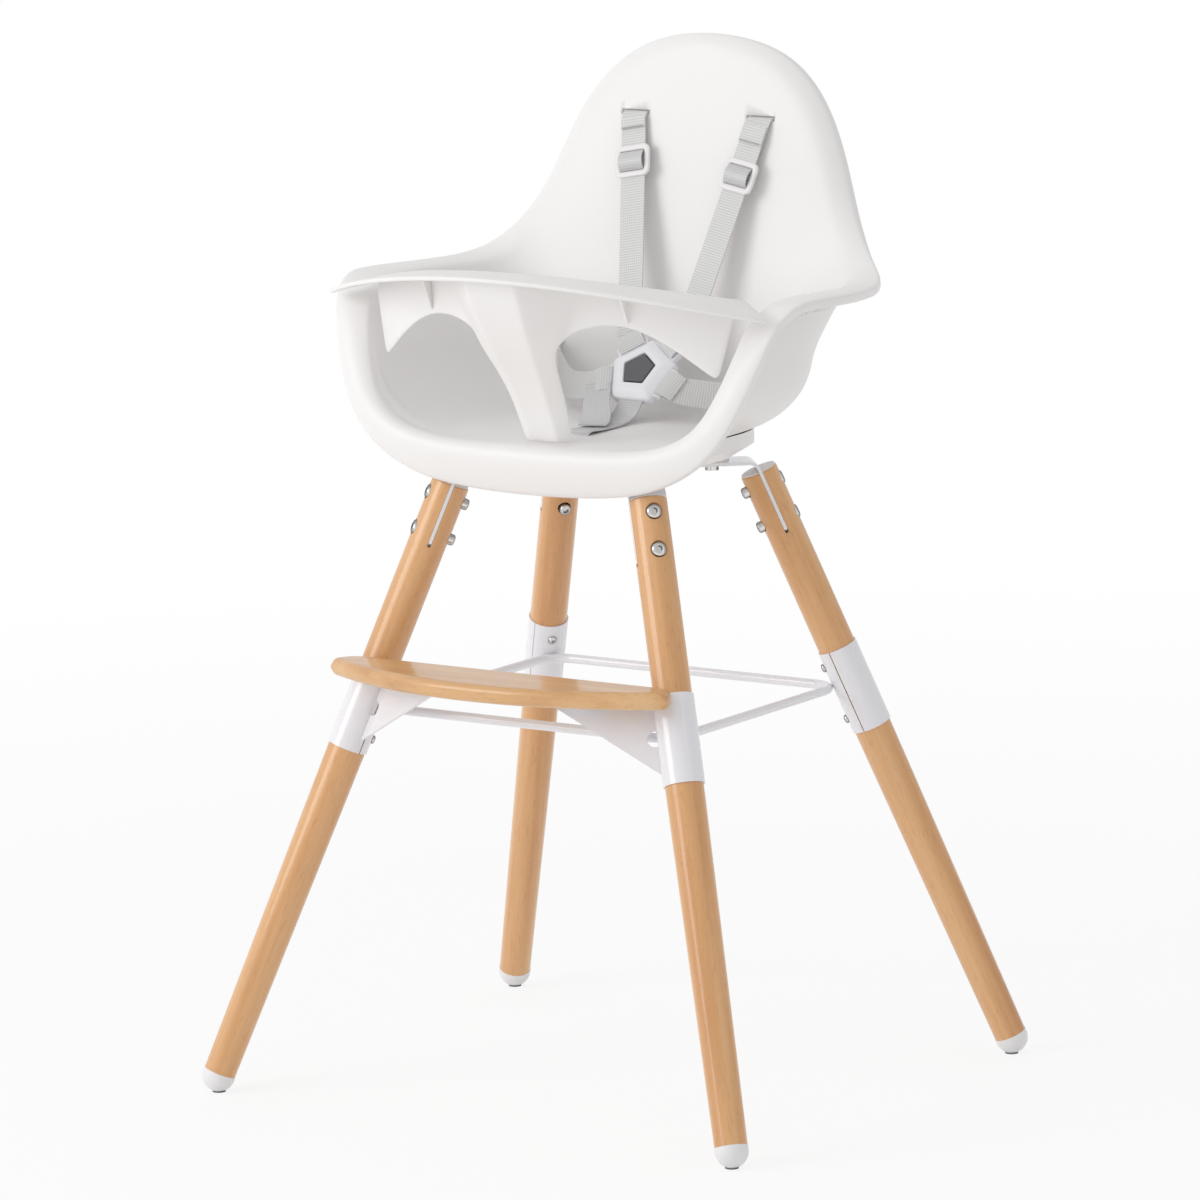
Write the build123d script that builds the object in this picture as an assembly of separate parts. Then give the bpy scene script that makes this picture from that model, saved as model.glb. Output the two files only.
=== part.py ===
from build123d import *
import math
import os

# Child's high chair: millimetres, floor at z = 0, the chair faces -Y and +X is the child's left.

# Stance of the four raked legs
foot_half_x = 273.0
foot_half_y = 233.0
top_half_x = 104.7
foot_end_height = 18.2
leg_top_height = 545.0
leg_radius = 17.0
foot_radius = 14.5
leg_joint_gap = 1.0
leg_top_chamfer = 1.0

# Foot caps and pads
cap_radius = 14.8
cap_spigot_radius = 4.0
cap_spigot_length = 15.0
cap_sphere_height = 15.0
pad_radius = 6.0
pad_thickness = 1.5
end_cap_thickness = 1.2

# Steel sleeves that join the upper and lower leg lengths
sleeve_low_height = 310.0
sleeve_rise = 73.0
sleeve_high_height = sleeve_low_height + sleeve_rise
sleeve_wall = 1.2
sleeve_seam = 0.8
sleeve_seam_inset = 10.0
sleeve_screw_inset = 14.0
sleeve_screw_radius = 2.0
sleeve_screw_head_radius = 4.0
sleeve_screw_head_height = 2.4
sleeve_socket_radius = 1.7
head_round_share = 0.9
sleeve_socket_depth = 1.4
sleeve_nut_radius = 4.5
sleeve_nut_thickness = 3.0

# Stretcher ring
ring_rise = 35.0
ring_height = sleeve_low_height + ring_rise
ring_rod_radius = 4.25
ring_corner_radius = 25.0

# Cross bars under the seat
bar_width = 34.0
bar_thickness = 3.0
bar_rise = 10.5
bar_top_height = leg_top_height + bar_rise
bar_bend_radius = 10.0
bar_slot_depth = 58.0
bar_end_gap = 1.5
joggle_inner = 35.0
joggle_outer = 52.0

# Bolts through the leg tops
leg_bolt_radius = 3.0
leg_bolt_head_radius = 6.8
leg_bolt_head_height = 3.6
leg_bolt_upper_drop = 14.0
leg_bolt_spacing = 34.0
leg_nut_radius = 5.2
leg_nut_length = 9.0
leg_nut_stand_out = 5.0
leg_nut_end = 3.5
leg_nut_round = 2.4
leg_socket_radius = 2.9
leg_socket_depth = 2.2
counterbore_depth = 2.2
counterbore_margin = 0.9

# Footrest
board_half_width = 178.0
board_depth = 72.0
board_end = 24.0
board_thickness = 16.0
board_rise = 12.0
board_top_height = sleeve_high_height + board_rise
board_corner_radius = 22.0
board_edge_radius = 6.5
bracket_turn = 24.5
bracket_sheet = 2.0
bracket_reach = 112.0
bracket_flange_start = 58.0
bracket_flange_width = 20.0
bracket_inset = 8.0
bracket_low_height = sleeve_low_height + bracket_inset
bracket_window_radius = 7.0
rest_screw_radius = 2.0
rest_head_radius = 4.0
rest_head_height = 2.0
rest_screw_length = 11.0
rest_screw_inset = 9.0

# Seat shell
shell_wall = 4.0
seat_rise = 32.5
seat_floor_height = bar_top_height + seat_rise
arm_half_width = 246.0
floor_half_width = 95.0
floor_rear = 90.0
arm_width = 58.0
side_half_width = arm_half_width - arm_width
side_rear = 121.0
side_round_height = 70.0
side_flare = 0.22
back_lean = 0.205
bucket_front_reach = 330.0
section_power = 3.0
section_points = 16
arm_rise = 133.0
arm_height = seat_floor_height + arm_rise
bucket_over = 29.0
bucket_top_height = arm_height + bucket_over
arm_rear = 118.0
flange_front = -115.5
flange_knee_drop = 8.0
flange_knee_height = seat_floor_height - flange_knee_drop
flange_arm_front = -76.0
flange_knee_radius = 150.0
flange_arm_radius = 30.0
flange_drop = 43.0
flange_bottom_height = seat_floor_height - flange_drop
flange_flat_half = 60.0
flange_side_inset = 30.0
flange_side_half = arm_half_width - flange_side_inset
flange_side_rise = 77.0
flange_side_height = seat_floor_height + flange_side_rise
flange_corner_inset = 12.0
flange_corner_half = arm_half_width - flange_corner_inset
arm_rear_inset = 24.0
arm_rear_half = arm_half_width - arm_rear_inset
back_rise = 203.0
back_top_height = arm_height + back_rise
back_lip_depth = 10.0
back_step = 1.2
back_edge = [(0.856, 0.10), (0.757, 0.25), (0.685, 0.43), (0.608, 0.635), (0.509, 0.783), (0.293, 0.946)]

# Base pan under the seat
pan_half_width = 130.0
pan_rear = 100.0
pan_front = 96.0
pan_low_half_width = 111.0
pan_low_rear = 84.0
pan_low_front = 80.0
pan_lift = 8.5
pan_bottom_height = bar_top_height + pan_lift
pan_shoulder_rise = 12.0
pan_shoulder_height = pan_bottom_height + pan_shoulder_rise
pan_wall = 3.5
boss_radius = 15.5
boss_reach = 96.0
boss_top_height = seat_floor_height - 2 * shell_wall
base_bolt_radius = 3.0
base_bolt_head_radius = 6.2
base_bolt_head_height = 5.4
base_bolt_length = 24.0
post_x = 55.0
post_y = 38.0
post_radius = 5.0
base_screw_radius = 1.7
base_screw_head_radius = 3.6
base_screw_head_height = 2.4
base_screw_bite = 12.0

# Bumper with its tray
tray_inset = 13.0
tray_front_half = arm_half_width - tray_inset
tray_corner_y = -88.0
tray_front_y = -190.0
tray_overhang = 2.0
tray_rear_half = side_half_width + tray_overhang
tray_rear_corner_y = -60.0
tray_rear_y = -146.0
tray_rise = 25.0
tray_top_height = arm_height + tray_rise
tray_end_drop = 31.0
tray_thickness = 4.0
bumper_wall = 3.0
bumper_wall_apex = -128.0
bumper_wall_radius = 373.0
bumper_end_inset = 14.0
bumper_end_half = side_half_width - bumper_end_inset
bumper_end_rise = 64.0
bumper_end_height = seat_floor_height + bumper_end_rise
bumper_top_half = tray_rear_half - bumper_wall / 3
arch_rise = 112.0
arch_peak_height = seat_floor_height + arch_rise
arch_edge = [(126.0, 10.0), (96.0, 0.0), (65.0, 4.0), (38.0, 26.0)]
post_foot_front = -95.0
post_foot_depth = 14.0
post_wall = 3.0
post_widths = [(15.6, 26.0), (15.0, 27.7), (15.6, 29.5), (18.0, 33.0)]
post_widths += [(21.0, 37.4), (24.5, 46.0), (27.0, 54.0)]
post_forward = [(0.0, -10.0), (7.0, -3.4), (18.5, 6.0), (31.0, 18.8)]
post_forward += [(48.0, 31.5), (63.0, 31.0), (81.0, 30.0)]
post_shares = [0.0, 0.12, 0.265, 0.41, 0.555, 0.72, 1.0]
tongue_width = 20.0
tongue_depth = 7.0
tongue_drop = 11.0
gusset_half = 105.0
gusset_sheet = 2.5
gusset_drop = 42.0
gusset_low_height = tray_top_height - gusset_drop
gusset_reach = 16.0
gusset_edge = 4.0

# Tray racks under the arms
rack_inset = 20.0
rack_half = arm_half_width - rack_inset
rack_sheet = 3.0
rack_front = -42.0
rack_length = 60.0
rack_height = 11.0
rack_tooth_pitch = 6.0
rack_tooth_depth = 4.0

# Harness
strap_width = 25.0
strap_thickness = 1.5
slot_length = 30.0
slot_height = 7.0
shoulder_half = 67.0
shoulder_drop = 74.0
shoulder_height = back_top_height - shoulder_drop
waist_half = 115.0
waist_rise = 44.0
waist_height = seat_floor_height + waist_rise
crotch_slot_y = -45.0
strap_tail = 9.0
strap_bend = 12.0
strap_straight_share = 0.7
strap_turn_share = 0.05
anchor_length = 40.0
anchor_width = 10.0
anchor_thickness = 3.0
buckle_y = 62.0
buckle_rise = 41.0
buckle_height = seat_floor_height + buckle_rise
buckle_lean = 40.0
buckle_radius = 34.0
buckle_front_depth = 7.0
buckle_back_depth = 6.0
buckle_edge_radius = 1.5
button_radius = 16.0
button_flange_radius = 19.2
button_travel = 2.0
button_flange = 2.0
button_top = 8.2
spring_radius = 6.0
spring_wire = 0.5
spring_turns = 4
spring_seat_depth = 4.0
tongue_plate_width = 22.0
tongue_plate_thickness = 3.0
tongue_insert = 6.0
tongue_head_width = 30.0
tongue_head_thickness = 5.0
tongue_head_length = 9.0
strap_bite = 5.0
adjuster_shares = {1: 0.26, -1: 0.22}
adjuster_width = 34.0
adjuster_length = 30.0
adjuster_thickness = 5.0
adjuster_window = 7.0

# Fits
slip = 0.15
free = 0.3
weld_gap = 0.05

UP = Vector(0, 0, 1)
BASE = (Align.CENTER, Align.CENTER, Align.MIN)
LEGS = {"front_left": (1, -1), "front_right": (-1, -1), "back_left": (1, 1), "back_right": (-1, 1)}
SIDES = {"left": 1, "right": -1}

os.makedirs("parts", exist_ok=True)


def save(name, *solids):
    """Write one node, as one solid or as a group of separate solids."""
    pieces = [piece for solid in solids for piece in solid.solids()]
    shape = pieces[0] if len(pieces) == 1 else Compound(children=pieces)
    export_step(shape, f"parts/{name}.step")


def rod(radius, length):
    """Round bar along local X, starting at the origin."""
    return Rot(0, 90, 0) * Cylinder(radius, length, align=BASE)


def hex_socket(radius, depth):
    """Six-sided recess along local X, starting at the origin."""
    return Rot(0, 90, 0) * extrude(RegularPolygon(radius, 6), amount=depth)


def domed_bar(radius, length, rounding):
    """Round bar along local X whose far end is rounded over."""
    bar = rod(radius, length)
    return fillet(bar.edges().group_by(Axis.X)[-1], rounding)


def prism(face, length):
    """Solid of a face, grown both ways along its normal."""
    return extrude(face, amount=length, both=True)


def side_view(face):
    """Turn a sketch drawn as (y, z) into the YZ plane."""
    return Plane.YZ * face


def front_view(face):
    """Turn a sketch drawn as (x, z) into the XZ plane."""
    return Plane(origin=(0, 0, 0), x_dir=(1, 0, 0), z_dir=(0, -1, 0)) * face


# Leg geometry
top_half_y = top_half_x * foot_half_y / foot_half_x
leg_rise = leg_top_height - foot_end_height
rake_x = (foot_half_x - top_half_x) / leg_rise
rake_y = (foot_half_y - top_half_y) / leg_rise
leg_cos = 1 / math.sqrt(1 + rake_x**2 + rake_y**2)
leg_length = leg_rise / leg_cos


def headed_screw(head_radius, head_height, radius, length):
    """Screw standing on its head: the shank goes up from the origin."""
    head = Pos(0, 0, -head_height) * Cylinder(head_radius, head_height, align=BASE)
    return head + Cylinder(radius, length, align=BASE)


def leg_point(side_x, side_y, height):
    """Point on a leg's axis at a height above the floor."""
    drop = height - foot_end_height
    return Vector(side_x * (foot_half_x - rake_x * drop), side_y * (foot_half_y - rake_y * drop), height)


def leg_frame(side_x, side_y):
    """Local frame of a leg: Z up its axis from the foot end, X outwards, square to the axis."""
    foot = leg_point(side_x, side_y, foot_end_height)
    axis = (leg_point(side_x, side_y, leg_top_height) - foot).normalized()
    outward = Vector(side_x * rake_x, side_y * rake_y, 0).normalized()
    across = (outward - axis * outward.dot(axis)).normalized()
    return Plane(origin=foot, x_dir=across, z_dir=axis).location


def along_leg(height):
    """Distance up the leg's axis for a height above the floor."""
    return (height - foot_end_height) / leg_cos


sleeve_low = along_leg(sleeve_low_height)
sleeve_high = along_leg(sleeve_high_height)
sleeve_inside = leg_radius + slip
sleeve_outside = sleeve_inside + sleeve_wall
leg_split = (sleeve_low + sleeve_high) / 2
screw_levels = [sleeve_low + sleeve_screw_inset, sleeve_high - sleeve_screw_inset]
bolt_levels = [leg_length - leg_bolt_upper_drop, leg_length - leg_bolt_upper_drop - leg_bolt_spacing]
nut_face = math.sqrt(sleeve_inside**2 - sleeve_nut_radius**2) - weld_gap
slot_thickness = bar_thickness + 2 * slip


def sleeve_screw_cut(level):
    """Hole for one sleeve screw and the pocket for its nut."""
    hole = Pos(-2 * leg_radius, 0, level) * rod(sleeve_screw_radius + slip, 2 * leg_radius + nut_face)
    pocket_start = nut_face - sleeve_nut_thickness - slip
    pocket = Pos(pocket_start, 0, level) * rod(sleeve_nut_radius + slip, leg_radius)
    return hole + pocket


def lower_leg():
    """Tapered wooden lower length, bored for the foot cap."""
    taper = Cone(foot_radius, leg_radius, sleeve_low, align=BASE)
    top = leg_split - leg_joint_gap / 2
    barrel = Pos(0, 0, sleeve_low) * Cylinder(leg_radius, top - sleeve_low, align=BASE)
    socket = Cylinder(cap_spigot_radius + slip, cap_spigot_length + leg_joint_gap, align=BASE)
    return taper + barrel - socket - sleeve_screw_cut(screw_levels[0])


def upper_leg():
    """Wooden upper length, slotted at the top for a cross bar and bored for its bolts."""
    start = leg_split + leg_joint_gap / 2
    body = Pos(0, 0, start) * Cylinder(leg_radius, leg_length - start, align=BASE)
    body = chamfer(body.edges().group_by(Axis.Z)[-1], leg_top_chamfer)
    slot_end = leg_length - bar_slot_depth
    slot = Pos(0, 0, slot_end) * Box(slot_thickness, 4 * leg_radius, 2 * bar_slot_depth, align=BASE)
    slot += Pos(0, 0, slot_end) * Rot(90, 0, 0) * Cylinder(slot_thickness / 2, 4 * leg_radius)
    body = body - slot - sleeve_screw_cut(screw_levels[1])
    for level in bolt_levels:
        body -= Pos(-2 * leg_radius, 0, level) * rod(leg_bolt_radius + slip, 4 * leg_radius)
        outer = leg_radius - counterbore_depth
        body -= Pos(outer, 0, level) * rod(leg_bolt_head_radius + counterbore_margin, leg_radius)
        inner = leg_radius - (leg_nut_length - leg_nut_stand_out)
        body -= Pos(-inner, 0, level) * Rot(0, 180, 0) * rod(leg_nut_radius + counterbore_margin, leg_radius)
    return body


def top_cap():
    """Thin end cap on a leg, in two halves beside the cross bar."""
    disc = Pos(0, 0, leg_length) * Cylinder(leg_radius - leg_top_chamfer, end_cap_thickness, align=BASE)
    return disc - Pos(0, 0, leg_length) * Box(slot_thickness + free, 4 * leg_radius, 4 * end_cap_thickness)


def sleeve_half(side):
    """One half of a steel sleeve: side 1 is the outer half, -1 the inner half with the screw holes."""
    height = sleeve_high - sleeve_low
    tube = Cylinder(sleeve_outside, height, align=BASE) - Cylinder(sleeve_inside, height, align=BASE)
    keep = Pos(side * (sleeve_outside + sleeve_seam / 2) - sleeve_seam_inset, 0, height / 2)
    tube = Pos(0, 0, sleeve_low) * (tube & keep * Box(2 * sleeve_outside, 4 * sleeve_outside, 2 * height))
    if side < 0:
        for level in screw_levels:
            tube -= Pos(-2 * leg_radius, 0, level) * rod(sleeve_screw_radius + slip, 2 * leg_radius)
    return tube


def sleeve_screw(level):
    """Domed screw from the inner half through the leg into its nut."""
    seat = -sleeve_outside - weld_gap
    shank = Pos(seat, 0, level) * rod(sleeve_screw_radius, nut_face - slip - seat)
    rounding = sleeve_screw_head_height * head_round_share
    head = domed_bar(sleeve_screw_head_radius, sleeve_screw_head_height, rounding)
    socket_floor = sleeve_screw_head_height - sleeve_socket_depth
    head -= Pos(socket_floor, 0, 0) * hex_socket(sleeve_socket_radius, sleeve_socket_depth)
    return shank + Pos(seat, 0, level) * Rot(0, 180, 0) * head


def sleeve_nut(level):
    """Round nut welded inside the outer half."""
    nut = rod(sleeve_nut_radius, sleeve_nut_thickness)
    nut -= rod(sleeve_screw_radius + weld_gap, sleeve_nut_thickness)
    return Pos(nut_face - sleeve_nut_thickness, 0, level) * nut


def foot_cap(side_x, side_y):
    """Domed plastic foot with a spigot up the leg, flattened at the bottom for its pad."""
    centre = along_leg(cap_sphere_height)
    dome = Pos(0, 0, centre) * Sphere(cap_radius)
    dome &= Pos(0, 0, -2 * cap_radius) * Box(4 * cap_radius, 4 * cap_radius, 4 * cap_radius + 2 * centre)
    collar = Pos(0, 0, centre) * Cylinder(cap_radius, -centre, align=BASE)
    spigot = Cylinder(cap_spigot_radius, cap_spigot_length, align=BASE)
    cap = leg_frame(side_x, side_y) * (dome + collar + spigot)
    reach = 10 * cap_radius
    level = Pos(cap.center().X, cap.center().Y, pad_thickness) * Box(reach, reach, reach, align=BASE)
    return cap & level


def foot_pad(side_x, side_y):
    """Rubber pad under the dome."""
    place = leg_point(side_x, side_y, cap_sphere_height)
    return Pos(place.X, place.Y, 0) * Cylinder(pad_radius, pad_thickness, align=BASE)


for name, (side_x, side_y) in LEGS.items():
    frame = leg_frame(side_x, side_y)
    save(f"leg_lower_{name}", frame * lower_leg())
    save(f"leg_upper_{name}", frame * upper_leg())
    save(f"sleeve_outer_{name}", frame * sleeve_half(1))
    save(f"sleeve_inner_{name}", frame * sleeve_half(-1))
    save(f"foot_cap_{name}", foot_cap(side_x, side_y))

frames = [leg_frame(*sides) for sides in LEGS.values()]
save("foot_pads", *[foot_pad(*sides) for sides in LEGS.values()])
save("leg_top_caps", *[frame * top_cap() for frame in frames])
save("sleeve_screws", *[frame * sleeve_screw(level) for frame in frames for level in screw_levels])
save("sleeve_nuts", *[frame * sleeve_nut(level) for frame in frames for level in screw_levels])

# Stretcher ring: one bent rod, tangent to the inner side of every sleeve
corner = leg_point(1, 1, ring_height)
inward = Vector(-rake_x, -rake_y, 0).normalized()
rod_to_leg = (sleeve_outside + ring_rod_radius + weld_gap) / leg_cos
corner_centre = corner + inward * (ring_corner_radius + rod_to_leg)
ring_half_x = corner_centre.X + ring_corner_radius
ring_half_y = corner_centre.Y + ring_corner_radius
ring_path = Pos(0, 0, ring_height) * RectangleRounded(2 * ring_half_x, 2 * ring_half_y, ring_corner_radius)
ring_start = Plane(origin=(0, -ring_half_y, ring_height), x_dir=(0, 1, 0), z_dir=(1, 0, 0))
ring = sweep(ring_start * Circle(ring_rod_radius), path=ring_path.wire())
save("stretcher_ring", ring)

# Cross bars: flat steel, bent down into the leg slots
bar_middle = bar_top_height - bar_thickness / 2
top_reach = math.hypot(top_half_x, top_half_y)
rake = math.hypot(rake_x, rake_y)


def bar_reach(height):
    """Horizontal distance of a leg's axis from the middle at a height."""
    return top_reach + rake * (leg_top_height - height)


bar_end_height = leg_top_height - (bar_slot_depth - bar_end_gap - bar_thickness / 2) * leg_cos
bar_arm = [(bar_reach(bar_end_height), bar_end_height), (bar_reach(bar_middle), bar_middle)]


def leg_bolt_cut(frame):
    """Bolt holes of one leg, for the cross bar in its slot."""
    hole = Pos(-leg_radius, 0, 0) * rod(leg_bolt_radius + slip, 2 * leg_radius)
    return frame * (Pos(0, 0, bolt_levels[0]) * hole + Pos(0, 0, bolt_levels[1]) * hole)


def cross_bar(side_y, middle_points):
    """Bar between two opposite legs: the end at side_y is on the child's left."""
    across = Vector(top_half_x, side_y * top_half_y, 0).normalized()
    plane = Plane(origin=(0, 0, 0), x_dir=across, z_dir=across.cross(UP))
    points = bar_arm + middle_points
    points += [(-reach, height) for reach, height in reversed(points)]
    line = FilletPolyline(*points, radius=bar_bend_radius)
    strip = offset(line, amount=bar_thickness / 2, side=Side.BOTH)
    bar = prism(plane * make_face(strip), bar_width / 2)
    for side in (1, -1):
        bar -= leg_bolt_cut(leg_frame(side, side * side_y))
        place = across * (side * boss_reach)
        bar -= Pos(place.X, place.Y, bar_middle) * Cylinder(base_bolt_radius + slip, 4 * bar_thickness)
    return bar


joggle_drop = bar_thickness + free
save("cross_bar_upper", cross_bar(1, []))
joggle = [(joggle_outer, bar_middle), (joggle_inner, bar_middle - joggle_drop)]
save("cross_bar_lower", cross_bar(-1, joggle))


def leg_bolt(level):
    """Domed bolt from the outside of a leg."""
    seat = leg_radius - counterbore_depth
    shank = Pos(-leg_radius, 0, level) * rod(leg_bolt_radius, leg_radius + seat)
    head = domed_bar(leg_bolt_head_radius, leg_bolt_head_height, leg_bolt_head_height * head_round_share)
    socket_floor = leg_bolt_head_height - leg_socket_depth
    head -= Pos(socket_floor, 0, 0) * hex_socket(leg_socket_radius, leg_socket_depth)
    return shank + Pos(seat, 0, level) * head


def leg_nut(level):
    """Sleeve nut on the inside of a leg, standing proud of the wood."""
    seat = leg_radius - (leg_nut_length - leg_nut_stand_out)
    nut = domed_bar(leg_nut_radius, leg_nut_length, leg_nut_round)
    nut -= rod(leg_bolt_radius + weld_gap, leg_nut_length - leg_nut_end)
    nut -= Pos(leg_nut_length - leg_socket_depth, 0, 0) * hex_socket(leg_socket_radius, leg_socket_depth)
    return Pos(-seat, 0, level) * Rot(0, 180, 0) * nut


save("leg_bolts", *[frame * leg_bolt(level) for frame in frames for level in bolt_levels])
save("leg_nuts", *[frame * leg_nut(level) for frame in frames for level in bolt_levels])

# Footrest: a D-shaped board on two sheet brackets
board_bottom = board_top_height - board_thickness
board_back = -leg_point(1, 1, board_bottom).Y - sleeve_outside - free
board_side = Line((-board_half_width, -board_end), (-board_half_width, 0))
board_line = Polyline(board_side @ 0, board_side @ 1, (board_half_width, 0), (board_half_width, -board_end))
board_curve = ThreePointArc(board_line @ 1, (0, -board_depth), board_line @ 0)
board_plan = make_face(board_line.edges() + board_curve.edges())
board_plan = fillet(board_plan.vertices().group_by(Axis.Y)[-1], board_corner_radius)
board = extrude(Pos(0, board_back, board_bottom) * board_plan, board_thickness)
rim_edges = board.edges().group_by(Axis.Z)[0] + board.edges().group_by(Axis.Z)[-1]
board = fillet(rim_edges, board_edge_radius)


def rest_direction(side):
    """Level direction of a bracket, inwards and forwards from its leg."""
    turn = math.radians(bracket_turn)
    return Vector(-side * math.cos(turn), -math.sin(turn), 0)


def rest_forward(side):
    """Level direction square to a bracket, towards the front."""
    turn = math.radians(bracket_turn)
    return Vector(side * math.sin(turn), -math.cos(turn), 0)


def rest_screw_places(side):
    """Screw positions along a bracket's flange, at the board's underside."""
    root = leg_point(side, -1, board_bottom) + rest_forward(side) * (bracket_flange_width / 2)
    reaches = [bracket_flange_start + rest_screw_inset, bracket_reach - rest_screw_inset]
    return [root + rest_direction(side) * reach for reach in reaches]


def rest_bracket(side):
    """Welded bracket: a web that follows the sleeve and a level flange under the board."""
    direction = rest_direction(side)
    web_top = board_bottom - bracket_sheet
    high = leg_point(side, -1, web_top)
    low = leg_point(side, -1, bracket_low_height)
    tip = high + direction * bracket_reach
    outline = Polyline(high, tip, low + direction * sleeve_outside, low, close=True)
    web = extrude(make_face(outline), amount=bracket_sheet / 2, both=True)
    notch = (high + low) * 0.5 + direction * (sleeve_outside + bracket_sheet)
    window = Plane(origin=notch, x_dir=direction, z_dir=direction.cross(high - low))
    web -= prism(window * Circle(bracket_window_radius), 4 * bracket_sheet)
    web -= leg_frame(side, -1) * Cylinder(sleeve_outside + weld_gap, 2 * leg_length)
    length = bracket_reach - bracket_flange_start
    middle = high + direction * (bracket_flange_start + length / 2)
    middle += rest_forward(side) * (bracket_flange_width - bracket_sheet) * 0.5
    flange_plane = Plane(origin=middle, x_dir=direction, z_dir=UP)
    flange = flange_plane * Box(length, bracket_flange_width, bracket_sheet, align=BASE)
    bracket = web + flange
    for place in rest_screw_places(side):
        bracket -= Pos(place.X, place.Y, web_top) * Cylinder(rest_screw_radius + slip, 4 * bracket_sheet)
    return bracket


def rest_screw(place):
    """Pan-head screw up through a flange into the board."""
    seat = Pos(place.X, place.Y, board_bottom - bracket_sheet)
    return seat * headed_screw(rest_head_radius, rest_head_height, rest_screw_radius, rest_screw_length)


for side in (1, -1):
    for place in rest_screw_places(side):
        bore = Cylinder(rest_screw_radius + slip, rest_screw_length, align=BASE)
        board -= Pos(place.X, place.Y, board_bottom - bracket_sheet) * bore
save("footrest_board", board)
for name, side in SIDES.items():
    save(f"footrest_bracket_{name}", rest_bracket(side))
save("footrest_screws", *[rest_screw(place) for side in (1, -1) for place in rest_screw_places(side)])


# Seat shell
def section(half_width, rear, front, height):
    """Level section of the seat: a squared-off oval with its own reach to the rear and to the front."""
    points = []
    for step in range(section_points + 1):
        angle = math.pi * (0.5 - step / section_points)
        across, deep = math.cos(angle), math.sin(angle)
        reach = rear if deep > 0 else front
        x = half_width * abs(across) ** (2 / section_power)
        y = reach * math.copysign(abs(deep) ** (2 / section_power), deep)
        points.append((x, y))
    points[0] = (0, rear)
    points[-1] = (0, -front)
    right = Spline(*points, tangents=[(1, 0), (-1, 0)])
    left = Spline(*[(-x, y) for x, y in points], tangents=[(-1, 0), (1, 0)])
    return Pos(0, 0, height) * make_face([right.edge(), left.edge()])


def round_size(turn, grow):
    """Half width and rear reach of the bucket part of the way round its lower corner."""
    half_width = floor_half_width + (side_half_width + grow - floor_half_width) * math.sin(turn)
    rear = floor_rear + (side_rear + grow - floor_rear) * math.sin(turn)
    return half_width, rear


def bucket(grow):
    """Solid bucket: grow is 0 for the inside and the wall for the outside."""
    floor = seat_floor_height - grow
    round_height = side_round_height + grow
    faces = []
    for degrees in (0, 18, 36, 54, 72, 90):
        turn = math.radians(degrees)
        half_width, rear = round_size(turn, grow)
        height = floor + round_height * (1 - math.cos(turn))
        faces.append(section(half_width, rear, bucket_front_reach, height))
    for share in (0.25, 0.5, 0.75, 1):
        rise = share * (bucket_top_height - floor - round_height)
        half_width = side_half_width + grow + side_flare * rise
        rear = side_rear + grow + back_lean * rise
        faces.append(section(half_width, rear, bucket_front_reach, floor + round_height + rise))
    return loft(faces)


far = 400.0
flange_line = FilletPolyline(
    (flange_front, flange_bottom_height - far),
    (flange_front, flange_knee_height),
    (flange_arm_front, arm_height),
    (far, arm_height),
    radius=(flange_knee_radius, flange_arm_radius),
)
behind = Polyline(
    (far, arm_height),
    (far, flange_bottom_height - far),
    (flange_front, flange_bottom_height - far),
)
kept_face = make_face(flange_line.edges() + behind.edges())
kept = prism(side_view(kept_face), far)
under_lip = prism(side_view(offset(kept_face, amount=-shell_wall)), far)


def back_line(height):
    """Y of the child's side of the backrest at a height."""
    return side_rear + back_lean * (height - seat_floor_height - side_round_height)


def rear_line(across, height):
    """Y of the inside of the rear wall, low in the seat, at a distance from the middle."""
    turn = math.acos(1 - (height - seat_floor_height) / side_round_height)
    half_width, rear = round_size(turn, 0)
    return rear * (1 - (across / half_width) ** section_power) ** (1 / section_power)


def mirrored(half):
    """A half sketch joined to its reflection across the middle."""
    return half + mirror(half, about=Plane.YZ)


def front_outline():
    """Front view of the lip round the opening, up to the arms."""
    start = (0, flange_bottom_height)
    knee = (flange_flat_half, flange_bottom_height)
    side = (flange_side_half, flange_side_height)
    arc = EllipticalCenterArc(
        (flange_flat_half, flange_side_height),
        flange_side_half - flange_flat_half,
        flange_side_height - flange_bottom_height,
        start_angle=270,
        arc_size=90,
    )
    top = arm_height + far
    corner = (flange_corner_half, arm_height - flange_arm_radius / 2)
    arm = (arm_half_width, arm_height - 2 * shell_wall)
    rest = Polyline(side, corner, arm, (arm_half_width, top), (0, top), start)
    return mirrored(make_face([Line(start, knee).edge(), arc.edge()] + rest.edges()))


back_depth = back_step + shell_wall + back_lip_depth


def arm_outline():
    """Plan of the arms' outer edge."""
    front = (flange_corner_half, tray_corner_y)
    rear = (arm_rear_half, arm_rear)
    edge = ThreePointArc(front, (arm_half_width, 0), rear)
    back = back_line(arm_height) + back_depth
    rest = Polyline(rear, (arm_rear_half, back), (0, back), (0, -far), (flange_corner_half, -far), front)
    return mirrored(make_face([edge.edge()] + rest.edges()))


def back_outline(inset, low):
    """Front view of the backrest from a low edge up, drawn in by an inset."""
    rise = back_top_height - arm_height
    edge = [(arm_rear_half - shell_wall / 2 - inset, low)]
    for across, up in back_edge:
        turn = math.pi / 2 * up
        x = arm_rear_half * across - inset * math.cos(turn)
        edge.append((x, arm_height + rise * up - inset * math.sin(turn)))
    points = edge + [(0, back_top_height - inset)] + [(-x, z) for x, z in reversed(edge)]
    return make_face(Spline(*points).edges() + Line(points[-1], points[0]).edges())


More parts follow.
